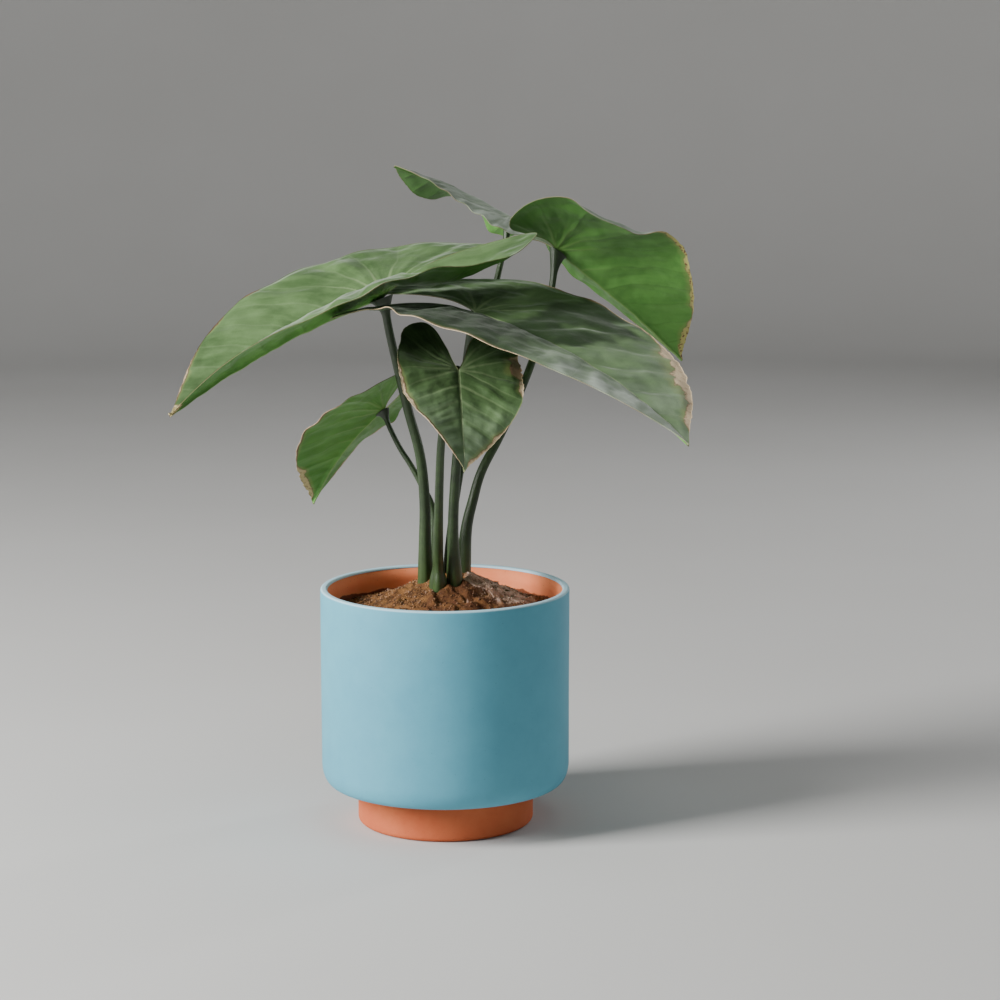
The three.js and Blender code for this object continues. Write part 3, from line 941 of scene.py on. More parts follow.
@dataclass(frozen=True)
class Leaf:
    """Shape of one leaf, from the part's source."""

    letter: str
    attach: Point
    heading: float
    pitch: float
    droop: float
    sweep: float
    lobe_pitch: float
    lobe_turn: float
    roll: float
    twist: float
    lobe_roll: float
    length: float
    lobe: float
    spread: float
    taper: float
    waves: float
    left: HalfBlade
    right: HalfBlade
    route: StalkRoute
    blunt: float = 0.0
    crinkle: float = 1.0
    tip_wax_highlight: float = 0.0
    rows: int = 180
    columns: int = 48

    def frame_at(self, share: Array) -> tuple[Array, Array, Array]:
        """The midrib's direction and the blade's sideways and upward directions.

        Args:
            share: Share of the way to the tip, or negative to the lobes' ends.

        Returns:
            The three directions, one row for each share.
        """
        ahead = share >= 0
        t = np.abs(share)
        heading = np.radians(self.heading + t * np.where(ahead, self.sweep, self.lobe_turn))
        pitch = np.radians(self.pitch + t * np.where(ahead, -self.droop, self.lobe_pitch))
        roll = np.radians(self.roll + t * np.where(ahead, self.twist, self.lobe_roll))[..., None]
        flat = np.cos(pitch)
        along = np.stack([flat * np.cos(heading), flat * np.sin(heading), np.sin(pitch)], -1)
        level = np.stack([-np.sin(heading), np.cos(heading), np.zeros_like(heading)], -1)
        side = level * np.cos(roll) + np.cross(along, level) * np.sin(roll)
        return along, side, np.cross(along, side)

    def midrib(self, sign: int, reach: float) -> Array:
        """Points of the midrib from the stalk, at even steps.

        Args:
            sign: 1 towards the tip, -1 towards the lobes.
            reach: Its length.

        Returns:
            The points.
        """
        along, _, _ = self.frame_at(sign * (np.arange(MIDRIB_STEPS) + 0.5) / MIDRIB_STEPS)
        walk = np.cumsum(along * sign * reach / MIDRIB_STEPS, axis=0)
        return np.concatenate([[self.attach], np.array(self.attach) + walk])

    def surface(self, half: HalfBlade, sign: int, u: Array, v: Array) -> Array:
        """Points of the curved blade from places in the flat one.

        Args:
            half: The half that they lie in.
            sign: 1 for the left half, -1 for the right one.
            u: Place along the midrib, 0 at the stalk.
            v: Distance from the midrib.

        Returns:
            The points, one row for each place.
        """
        back_reach = self.length * self.lobe
        share = np.clip(u / np.where(u >= 0, self.length, back_reach), -1, 1)
        lines = self.midrib(1, self.length), self.midrib(-1, back_reach)
        step = np.abs(share) * MIDRIB_STEPS
        i = np.minimum(step.astype(int), MIDRIB_STEPS - 1)
        k = (step - i)[..., None]
        ahead, behind = (line[i] * (1 - k) + line[i + 1] * k for line in lines)
        rib = np.where((u >= 0)[..., None], ahead, behind)
        _, side, up = self.frame_at(share)
        w = v / half.width
        back = np.clip(-share, 0, 1)
        angle = np.radians(half.fold + half.lobe_fold * back + half.curl * w * 0.5)
        cup = half.cup * back * (1 - np.minimum(w, 1)) ** 2
        dip = np.sin(np.pi * np.clip((w - 0.1) / 0.9, 0, 1))
        belly = half.belly * np.sin(np.pi * back**0.7) * dip
        run = (u + back_reach) / (self.length * (1 + self.lobe))
        wave = half.wave * np.sin(2 * np.pi * self.waves * run + math.radians(half.phase)) * w**2
        ripple = RIPPLE * np.sin(2 * np.pi * RIPPLES * run + sign + half.phase) * w**4
        lift = v * np.sin(angle) + cup - belly + wave + ripple
        return rib + side * (sign * v * np.cos(angle))[..., None] + up * lift[..., None]

    def outline(self, half: HalfBlade) -> Array:
        """Outline of one half in the flat blade, tip first.

        Args:
            half: The half.

        Returns:
            Rows of place along the midrib and distance from it.
        """
        rows = []
        for i, (along, out) in enumerate(MARGIN):
            if along >= 0:
                outer = 0 < i <= OUTER_POINTS
                blunt = self.blunt * math.sqrt(1 - along) * along**3
                shaped = out * (1 - self.taper * along * (1 - out)) + blunt if outer else out
                rows.append((along * self.length, shaped * half.width))
            else:
                part = 1 if i >= FULL_SPREAD_FROM else 0.5
                widen = (self.spread / MARGIN[LOBE_TIP][1] - 1) * along * along * part
                reach = 1 + (half.reach - 1) * abs(along)
                rows.append((along * self.length * self.lobe * reach, out * (1 + widen) * half.width))
        return np.array(rows)


@dataclass
class Sheet:
    """The middle surface of a blade: points, flat places, faces, rim loop, and numbers by name."""

    points: Array
    flat: Array
    faces: Array
    rim: list[int]
    numbers: dict[str, Array]


@dataclass
class Blade:
    """A leaf blade with two skins, raised veins beneath, quilting between them and a ragged margin."""

    leaf: Leaf
    thickness: float = 0.95
    edge_thickness: float = 0.5
    edge_band: float = 5.0
    rib_height: float = 1.7
    rib_width: float = 3.2
    rib_start: float = -4.0
    rib_taper: float = 0.72
    groove: float = 0.45
    groove_width: float = 1.6
    side_height: float = 0.35
    side_width: float = 1.3
    quilt: float = 0.75
    quilt_width: float = 6.0
    quilt_size: float = 45.0
    lump: float = 1.1
    lump_size: float = 24.0
    crease: float = 0.6
    creases_per_vein: float = 2.4
    crease_across: float = 0.035
    smooth_middle: float = 12.0
    relief_band: float = 9.0
    roll_band: float = 9.0
    veins_per_half: float = 6.0
    vein_angle: float = 58.0
    vein_bend: float = 0.0013
    vein_wander: float = 0.16
    fan_angle: float = 23.0
    nibble: float = 0.6
    scorched_nibble: float = 0.24
    crowding: float = 0.14
    dusk_wander: float = 0.12

    def vein_count(self, u: Array, v: Array) -> Array:
        """Number of the side vein at each place: whole along a vein, fractions between two.

        Args:
            u: Place along the midrib.
            v: Distance from it.

        Returns:
            The numbers: above 0 ahead of the stalk, below 0 in the lobes.
        """
        spacing = self.leaf.length / self.veins_per_half
        bent = u - self.vein_bend * v**2
        start = bent - v / math.tan(math.radians(self.vein_angle))
        turn = np.degrees(np.arctan2(v, bent)) - self.vein_angle
        return np.where(start > 0, start / spacing, -turn / self.fan_angle)

    def _lines(self, half: HalfBlade) -> tuple[Array, Array, Array]:
        """Lines of one half in the flat blade, from the tip to the lobe's end.

        Args:
            half: The half.

        Returns:
            The outer margin, the margin of the notch, and the inner line: the midrib and then the notch.
        """
        leaf = self.leaf
        outline = leaf.outline(half)
        share = np.arange(leaf.rows + 1) / leaf.rows
        margin = spline(outline, share * LOBE_TIP)
        last = len(outline) - 1
        back = np.clip((share - ATTACH_SHARE) / (1 - ATTACH_SHARE), 0, 1)
        notch = spline(outline, last - back * (last - LOBE_TIP))
        rib = np.stack([leaf.length * (1 - share / ATTACH_SHARE), np.zeros_like(share)], -1)
        return margin, notch, np.where((share <= ATTACH_SHARE + 1e-9)[:, None], rib, notch)

    def _grid(self, half: HalfBlade, sign: int) -> tuple[Array, Array, Array]:
        """Grid of one half in the flat blade, with its ragged margin.

        Args:
            half: The half.
            sign: 1 for the left half, -1 for the right one.

        Returns:
            Places along the midrib and out from it, and how far inside the margin each one lies.
        """
        leaf = self.leaf
        margin, notch, spine = self._lines(half)
        share = np.arange(leaf.rows + 1) / leaf.rows
        seed = 7.3 * sign + ord(leaf.letter)
        places = np.stack([share * 100, np.full_like(share, seed)], -1)
        ragged = np.abs(noise_at(places, 2.6, 3, seed)) + 0.5 * np.abs(noise_at(places, 0.9, 2, seed))
        nibble = ragged * (self.nibble + self.scorched_nibble * strongest(half.scorches, share))
        span = np.linalg.norm(margin - spine, axis=1)
        nibble = np.minimum(nibble, 0.1 * span) / np.maximum(span, 1e-6)
        t = np.arange(leaf.columns + 1) / leaf.columns
        t = t - self.crowding * np.sin(2 * np.pi * t) / (2 * np.pi)
        t = t[None, :] * (1 - nibble[:, None] * t[None, :] ** 10)
        flat = spine[:, None, :] + (margin - spine)[:, None, :] * t[..., None]
        u, v = flat[..., 0], np.maximum(flat[..., 1], 0)
        edge = np.concatenate([np.stack([u[:, -1], v[:, -1]], -1), notch[share >= ATTACH_SHARE]])
        inward = np.empty(u.shape)
        for row in range(len(u)):
            gaps = np.hypot(u[row][:, None] - edge[None, :, 0], v[row][:, None] - edge[None, :, 1])
            inward[row] = gaps.min(axis=1)
        return u, v, inward

    def _states(self, half: HalfBlade, sign: int, u: Array, v: Array, inward: Array) -> dict[str, Array]:
        """State of the skin over the grid of one half.

        Args:
            half: The half.
            sign: 1 for the left half, -1 for the right one.
            u: Place along the midrib.
            v: Distance from it.
            inward: Distance from the margin.

        Returns:
            By name, how dried, pale or rolled each place is, how waxy with a painted highlight, how much
            painted shade it has, and its share of the length.
        """
        leaf = self.leaf
        share = np.arange(leaf.rows + 1) / leaf.rows
        pale = sum([s.pale * s.window(share) for s in half.scorches], np.zeros_like(share))
        scorch, roll = strongest(half.scorches, share), strongest(half.rolls, share)
        outer = smooth(np.arange(leaf.columns + 1) / leaf.columns, 0.35, 0.75)
        rows = {"scorch": scorch, "pale": np.clip(pale, -1, 1), "roll": roll}
        states = {name: values[:, None] * outer for name, values in rows.items()}
        bands = [s.window(share)[:, None] * smooth(inward, s.depth, 0.3 * s.depth) for s in half.blooms]
        states["bloom"] = np.max([np.zeros_like(inward), *bands], axis=0)
        places = np.stack([u, sign * v], -1).reshape(-1, 2)
        along = u / leaf.length + self.dusk_wander * noise_at(places, 40, 3, 12.0).reshape(u.shape)
        return {**states, "inward": inward, "dusk": strongest(half.dusks, along), "along": along}

    def sheet(self) -> Sheet:
        """Builds the middle surface of the whole blade.

        Returns:
            The surface.
        """
        leaf = self.leaf
        attach_row = round(leaf.rows * ATTACH_SHARE)
        size = (leaf.rows + 1) * (leaf.columns + 1)
        points, flats, numbers, faces, rims = [], [], [], [], []
        left_index = None
        for number, (half, sign) in enumerate(((leaf.left, 1), (leaf.right, -1))):
            u, v, inward = self._grid(half, sign)
            points.append(leaf.surface(half, sign, u, v).reshape(-1, 3))
            flats.append(np.stack([u, sign * v], -1).reshape(-1, 2))
            states = self._states(half, sign, u, v, inward)
            numbers.append({**states, "share": v / half.width})
            index = np.arange(size).reshape(leaf.rows + 1, -1) + number * size
            index[0, :] = index[0, 0]
            index[-1, :] = index[-1, 0]
            if left_index is None:
                left_index = index
            else:
                index[: attach_row + 1, 0] = left_index[: attach_row + 1, 0]
                index[0, :] = left_index[0, 0]
            corners = [index[:-1, :-1], index[1:, :-1], index[1:, 1:], index[:-1, 1:]]
            faces.append(np.stack(corners[::sign], -1).reshape(-1, 4))
            inner = index[attach_row:, 0][::-1]
            rims.append([*index[:, -1], *inner[1:]])
        rim = [*rims[0], *rims[1][1:-1][::-1]]
        left, right = numbers
        both = {name: np.concatenate([left[name].ravel(), right[name].ravel()]) for name in left}
        halves = (np.concatenate(parts) for parts in (points, flats, faces))
        return Sheet(*halves, [int(n) for n in rim], both)

    @staticmethod
    def _normals(points: Array, faces: Array) -> Array:
        """Normals of a sheet of quads.

        Args:
            points: Its vertices.
            faces: Its quads.

        Returns:
            A unit normal for each vertex.
        """
        a, b, c, d = (points[faces[:, n]] for n in range(4))
        across = np.cross(c - a, d - b)
        normals = np.zeros_like(points)
        for n in range(4):
            np.add.at(normals, faces[:, n], across)
        return unit(normals)

    def _upward(self, sheet: Sheet) -> Array:
        """Turns the faces of a sheet to the blade's upper side.

        Args:
            sheet: The sheet, which is changed.

        Returns:
            Its normals on that side.
        """
        normals = self._normals(sheet.points, sheet.faces)
        _, _, up = self.leaf.frame_at(np.zeros(1))
        at_stalk = int(np.argmin(np.hypot(sheet.flat[:, 0], sheet.flat[:, 1])))
        if normals[at_stalk] @ up[0] < 0:
            normals = -normals
            sheet.faces = sheet.faces[:, ::-1]
            sheet.rim = sheet.rim[::-1]
        return normals

    def _veins(self, sheet: Sheet) -> tuple[Array, Array, Array]:
        """The side veins at each point of a sheet.

        Args:
            sheet: The sheet.

        Returns:
            The vein's number, the distance between two veins there, and that to the nearest vein.
        """
        u, v = sheet.flat[:, 0], np.abs(sheet.flat[:, 1])
        wander = self.vein_wander * noise_at(sheet.flat, 34, 2, ord(self.leaf.letter))
        step = 0.5
        count = self.vein_count(u, v) + wander
        ahead, aside = self.vein_count(u + step, v), self.vein_count(u, v + step)
        spacing = step / np.maximum(np.hypot(ahead + wander - count, aside + wander - count), 1e-4)
        away_from_lobes = 30 * (u < 0)
        return count, spacing, np.minimum(np.abs(count - np.round(count)) * spacing, v + away_from_lobes)

    def _taper(self, u: Array) -> Array:
        """Width of the midrib at each place along it, as a share of that at the stalk."""
        return np.clip(1 - self.rib_taper * u / self.leaf.length, 0.25, 1)

    def _relief(self, sheet: Sheet, off_vein: Array, creases: Array) -> tuple[Array, Array]:
        """How far the two skins lie off the middle surface.

        Args:
            sheet: The middle surface.
            off_vein: Distance to the nearest vein.
            creases: Noise of the creases, which run along the veins.

        Returns:
            The steps of the upper skin and of the under one along the normals.
        """
        leaf, inward, letter = self.leaf, sheet.numbers["inward"], ord(self.leaf.letter)
        u, v = sheet.flat[:, 0], np.abs(sheet.flat[:, 1])
        inside = smooth(inward, 0, self.relief_band)
        uneven = 0.3 + 1.4 * smooth(noise_at(sheet.flat, self.quilt_size, 2, 9 + letter), -0.45, 0.45)
        high = self.quilt * uneven * (leaf.length / 220) ** 0.5
        puff = high * (1 - np.exp(-((off_vein / self.quilt_width) ** 2)))
        lumps = self.lump * noise_at(sheet.flat, self.lump_size, 3, 3 + letter)
        lumps = leaf.crinkle * (lumps + self.crease * creases * np.clip(v / self.smooth_middle, 0, 1))
        roll = sheet.numbers["roll"] * smooth(inward, self.roll_band, 0) ** 1.5
        middle = (puff + lumps) * inside - roll
        thicker = (self.thickness - self.edge_thickness) * smooth(inward, 0, self.edge_band)
        body = self.edge_thickness + thicker
        groove = self.groove * np.exp(-((v / self.groove_width) ** 2)) * (u >= 0)
        strength = np.clip(u / leaf.length + 0.25, 0, 1)
        rib = self.rib_height * np.exp(-((v / (self.rib_width * self._taper(u))) ** 2)) * strength
        rib = rib * (u >= self.rib_start)
        side = self.side_height * np.exp(-((off_vein / self.side_width) ** 2)) * inside
        return middle + body / 2 - groove, middle - body / 2 - rib - side

    def _looks(self, sheet: Sheet, count: Array, spacing: Array, creases: Array) -> dict[str, Array]:
        """What the leaf's materials read at each point.

        Args:
            sheet: The middle surface.
            count: Number of the side vein.
            spacing: Distance between two veins.
            creases: Noise of the creases.

        Returns:
            Three numbers for each point, by the attribute's name.
        """
        numbers, u = sheet.numbers, sheet.flat[:, 0]
        taper, outward = self._taper(u), np.clip(numbers["share"], 0, 1)
        # Wax with painted highlights, on given stretches and towards the tip.
        tip_wax_highlight = np.maximum(numbers["bloom"], self.leaf.tip_wax_highlight * smooth(numbers["along"], 0.15, 0.8))
        bloom = tip_wax_highlight * (0.45 + 0.55 * smooth(creases, -0.45, 0.45))
        vein_width = 0.35 + 0.75 * (1 - outward) * np.clip(taper + 0.15, 0, 1)
        rib_width = np.where(u >= -1, 1.5 * taper + 0.15, 0.01)
        columns = {
            "blade_place": (u, sheet.flat[:, 1], numbers["inward"]),
            "blade_vein": (count, spacing, vein_width),
            "blade_edge": (numbers["scorch"], rib_width, numbers["pale"]),
            "blade_wax_highlight_and_shade": (bloom, numbers["dusk"], np.zeros_like(bloom)),
        }
        return {name: np.stack(values, -1) for name, values in columns.items()}

    @staticmethod
    def _skins(sheet: Sheet) -> tuple[list[tuple[int, ...]], Array]:
        """Faces of the closed blade, whose under points follow its upper ones.

        Args:
            sheet: The middle surface.

        Returns:
            The faces, and the number of each one's material slot.
        """
        below = len(sheet.points)
        faces = [tuple(dict.fromkeys(quad)) for quad in sheet.faces.tolist()]
        upper = [face for face in faces if len(face) > 2]
        under = [tuple(n + below for n in reversed(face)) for face in upper]
        steps = zip(sheet.rim, sheet.rim[1:] + sheet.rim[:1])
        wall = [(a, a + below, b + below, b) for a, b in steps if a != b]
        parts = ((Skin.UPPER, upper), (Skin.UNDER, under), (Skin.UPPER, wall))
        slots = [skin.value for skin, part in parts for _ in part]
        return upper + under + wall, np.array(slots)

    def build(self, upper: bpy.types.Material, under: bpy.types.Material) -> bpy.types.Object:
        """Makes the blade.

        Args:
            upper: Material of the upper skin.
            under: Material of the underside.

        Returns:
            The piece.
        """
        leaf, sheet = self.leaf, self.sheet()
        normals = self._upward(sheet)
        count, spacing, off_vein = self._veins(sheet)
        ways = np.stack([count * self.creases_per_vein, sheet.flat[:, 1] * self.crease_across], -1)
        creases = noise_at(ways, 1.0, 3, 5 + ord(leaf.letter))
        steps = self._relief(sheet, off_vein, creases)
        points = np.concatenate([sheet.points + normals * step[:, None] for step in steps])
        faces, slots = self._skins(sheet)
        used = np.unique(np.concatenate([np.array(face) for face in faces]))
        renumber = dict(zip(used.tolist(), range(len(used))))
        faces = [tuple(renumber[n] for n in face) for face in faces]
        looks = self._looks(sheet, count, spacing, creases)
        both = {name: np.concatenate([values, values])[used] for name, values in looks.items()}
        piece = add_mesh(f"leaf_blade_{leaf.letter}", points[used], faces, [upper, under], both, slots)
        dress(piece, "leaf", f"blade_{leaf.letter}")
        return piece


@dataclass
class Stalk:
    """A leaf stalk with a grooved sheath at the soil and a funnel under its blade."""

    leaf: Leaf
    steps: int = 110
    sides: int = 32
    sheath: float = 0.9
    sheath_share: float = 0.12
    sheath_length: float = 0.1
    swell_length: float = 0.4
    flare: float = 2.0
    flare_length: float = 0.05
    groove: float = 0.3
    groove_share: float = 0.16
    groove_length: float = 0.14
    groove_width: float = 0.45
    ridge: float = 0.018
    ridges: int = 9
    waver: float = 0.012
    funnel: float = 0.91
    funnel_length: float = 9.5
    funnel_width: float = 5.8
    funnel_shift: float = 2.5
    funnel_drop: float = 0.8
    funnel_at_radius: float = 2.6

    def radius(self, share: float) -> float:
        """Radius of the plain stalk.

        Args:
            share: Share of the way up.

        Returns:
            The radius.
        """
        route = self.leaf.route
        sheath = self.sheath * math.exp(-(((share - self.sheath_share) / self.sheath_length) ** 2))
        above_soil = share * (len(route.points) - 1) - 1
        base = route.swell * math.exp(-((above_soil / self.swell_length) ** 2))
        flare = self.flare * math.exp(-(((share - 1) / self.flare_length) ** 2))
        return route.low + (route.high - route.low) * share**0.8 + sheath + base + flare

    def _girth(self, share: float, turn: Array) -> Array:
        """Radius of the stalk with its groove and ridges.

        Args:
            share: Share of the way up.
            turn: Directions round the stalk.

        Returns:
            The radius in each direction.
        """
        off_groove = turn - 1.4 - 0.5 * ord(self.leaf.letter) % 6
        open_side = np.exp(-((off_groove / self.groove_width) ** 2))
        deep = self.groove * math.exp(-(((share - self.groove_share) / self.groove_length) ** 2))
        ridged = 1 + self.ridge * np.cos(turn * self.ridges + 3 * share)
        ridged = ridged + self.waver * np.sin(turn * 4 + 8 * share)
        return self.radius(share) * (1 - open_side * deep) * ridged

    def _under_blade(self, share: float, ring: Array, spokes: Array) -> Array:
        """Lets a ring near the top pass into the funnel that lies against the blade.

        Args:
            share: Share of the way up.
            ring: The ring's points.
            spokes: Their directions from its centre.

        Returns:
            The moved points.
        """
        blend = float(smooth(np.array(share), self.funnel, 1.0)) ** 1.6
        along, side, up = (a[0] for a in self.leaf.frame_at(np.zeros(1)))
        flat = unit(np.stack([spokes @ along, spokes @ side], -1))
        size = self.leaf.route.high / self.funnel_at_radius
        u = self.funnel_shift + self.funnel_length * size * flat[:, 0]
        v = self.funnel_width * size * flat[:, 1]
        top = np.array(self.leaf.attach) + along * u[:, None] + side * v[:, None] - up * self.funnel_drop
        return ring * (1 - blend) + top * blend

    def build(self, skin: bpy.types.Material) -> bpy.types.Object:
        """Makes the stalk.

        Args:
            skin: Its material.

        Returns:
            The piece.
        """
        control = np.array(self.leaf.route.points, float)
        t = np.arange(self.steps + 1) / self.steps
        line = spline(control, t * (len(control) - 1))
        ahead = unit(np.gradient(line, axis=0))
        across = np.array([1.0, 0.0, 0.0])
        turn = 2 * np.pi * np.arange(self.sides) / self.sides
        rows, places = [], []
        for share, centre, way in zip(t.tolist(), line, ahead):
            across = unit(across - way * (across @ way))
            over = np.cross(way, across)
            spokes = np.cos(turn)[:, None] * across + np.sin(turn)[:, None] * over
            ring = centre + spokes * self._girth(share, turn)[:, None]
            rows.append(self._under_blade(share, ring, spokes))
            places.append(np.stack([np.full(self.sides, share), np.cos(turn), np.zeros(self.sides)], -1))
        last = self.steps * self.sides
        ends = [tuple(reversed(range(self.sides))), tuple(range(last, last + self.sides))]
        faces = tube_faces(self.steps + 1, self.sides) + ends
        attributes = {"stalk_place": np.concatenate(places)}
        piece = add_mesh(f"leaf_stalk_{self.leaf.letter}", np.concatenate(rows), faces, [skin], attributes)
        dress(piece, "stalk", f"stalk_{self.leaf.letter}")
        return piece


def lathe(profile: list[Pair], sides: int = 192) -> tuple[Array, list[tuple[int, ...]]]:
    """Turns a profile about the axis.

    Args:
        profile: Radius and height of each point, starting and ending on the axis or closing on itself.
        sides: How many steps a turn has.

    Returns:
        Vertices and faces of the closed body.
    """
    closed = profile[0] == profile[-1]
    rows = profile[:-1] if closed else profile
    turn = 2 * np.pi * np.arange(sides) / sides
    points, rings = [], []
    for r, z in rows:
        if r < 1e-9:
            rings.append([len(points)] * sides)
            points.append((0.0, 0.0, z))
        else:
            rings.append(list(range(len(points), len(points) + sides)))
            points += [(r * math.cos(a), r * math.sin(a), z) for a in turn]
    faces = []
    pairs = zip(rings, rings[1:] + rings[:1]) if closed else zip(rings, rings[1:])
    for low, high in pairs:
        for k in range(sides):
            m = (k + 1) % sides
            corners = list(dict.fromkeys((low[k], low[m], high[m], high[k])))
            if len(corners) > 2:
                faces.append(tuple(corners))
    return np.array(points), faces


def arc(r: float, z: float, wide: float, tall: float, start: float, end: float, steps: int) -> list[Pair]:
    """Profile points of an elliptic arc.

    Args:
        r: Radius of its centre.
        z: Height of its centre.
        wide: Its radius sideways.
        tall: Its radius upwards.
        start: First angle.
        end: Last angle.
        steps: How many steps.

    Returns:
        The points.
    """
    angles = np.radians(np.linspace(start, end, steps + 1))
    return [(r + wide * math.cos(a), z + tall * math.sin(a)) for a in angles]


@dataclass
class Pot:
    """The glazed pot, its terracotta liner and its terracotta foot."""

    radius: float = 100.0
    height: float = 192.0
    wall: float = 2.6
    lip: float = 5.6
    lip_depth: float = 2.0
    floor: float = 6.0
    underside: float = 33.0
    rim_round: float = 1.8
    pot_waver: float = 0.12
    pot_sides: int = 224
    edge_round: float = 8.0
    edge_rise: float = 16.0
    foot_radius: float = 71.0
    foot_round: float = 4.0
    foot_bevel: float = 0.6
    foot_waver: float = 0.1
    corner: float = 8.0
    corner_rise: float = 13.0
    drain: float = 8.0
    gap: float = 0.3
    seat: float = 0.2

    def build(self, glaze: bpy.types.Material, lining: bpy.types.Material,
              clay: bpy.types.Material) -> None:
        """Makes the three pieces.

        Args:
            glaze: Material of the pot.
            lining: Material of the liner.
            clay: Material of the foot.
        """
        self._glazed(glaze)
        self._liner(lining)
        self._foot(clay)

    @staticmethod
    def _hand_turned(points: Array, amount: float) -> Array:
        """Lets a turned body waver a little, as hand made ware does.

        Args:
            points: Its vertices.
            amount: The largest step in or out.

        Returns:
            The moved vertices.
        """
        r = np.hypot(points[:, 0], points[:, 1])
        waver = noise_at(points, 90, 2, 4.0) * amount * smooth(r, 20, 60)
        scale = 1 + waver / np.maximum(r, 1)
        return points * np.stack([scale, scale, np.ones_like(scale)], -1)

    def _glazed(self, glaze: bpy.types.Material) -> None:
        """Makes the glazed pot, with its lip over the liner.

        Args:
            glaze: Its material.
        """
        inner, mouth, soft = self.radius - self.wall, self.radius - self.lip, self.rim_round
        low, inside = self.underside + self.edge_rise, self.underside + self.floor
        straight = np.linspace(low, self.height - soft, 22)[1:-1]
        profile = [
            (0.0, self.underside), (30.0, self.underside), (60.0, self.underside), (80.0, self.underside),
            *arc(self.radius - self.edge_round, low, self.edge_round, self.edge_rise, -90, 0, 16),
            *[(self.radius, float(z)) for z in straight],
            *arc(self.radius - soft, self.height - soft, soft, soft, 0, 90, 8),
            *arc(mouth + soft, self.height - soft, soft, soft, 90, 180, 8),
            (mouth, self.height - self.lip_depth), (inner, self.height - self.lip_depth),
            (inner, inside + self.corner_rise), (inner - self.corner, inside), (0.0, inside),
        ]
        points, faces = lathe(profile, self.pot_sides)
        piece = add_mesh("glazed_pot", self._hand_turned(points, self.pot_waver), faces, [glaze])
        dress(piece, "blue_glaze", "outer_pot")

    def _liner(self, clay: bpy.types.Material) -> None:
        """Makes the terracotta liner, flush with the lip of the pot.

        Args:
            clay: Its material.
        """
        outer, inner = self.radius - self.wall - self.gap, self.radius - self.lip
        base, top = self.underside + self.floor + self.seat, self.height - self.lip_depth - self.gap
        floor = base + self.floor
        wall = np.linspace(top, floor + self.corner_rise, 14)
        profile = [
            (self.drain, base), (outer - self.corner, base), (outer, base + self.corner_rise), (outer, top),
            *[(inner, float(z)) for z in wall], (inner - self.corner, floor), (self.drain, floor),
            (self.drain, base),
        ]
        points, faces = lathe(profile)
        piece = add_mesh("terracotta_liner", points, faces, [clay])
        dress(piece, "terracotta", "inner_pot")

    def _foot(self, clay: bpy.types.Material) -> None:
        """Makes the foot.

        Args:
            clay: Its material.
        """
        top = self.underside - self.seat
        soft = self.foot_round
        rise = [(self.foot_radius, float(z)) for z in np.linspace(soft, top - self.foot_bevel, 8)[1:]]
        profile = [
            (0.0, 0.0), (40.0, 0.0),
            *arc(self.foot_radius - soft, soft, soft, soft, -90, 0, 10),
            *rise, (self.foot_radius - self.foot_bevel, top), (40.0, top), (0.0, top),
        ]
        points, faces = lathe(profile)
        piece = add_mesh("terracotta_foot", self._hand_turned(points, self.foot_waver), faces, [clay])
        dress(piece, "terracotta", "foot")


@dataclass(frozen=True)
class Grains:
    """Loose grains: their number, least size, how much larger some are and how rarely, and half sizes."""

    name: str
    count: int
    least: float
    larger: float
    rarity: int
    shape: Point
    fine: bool = False


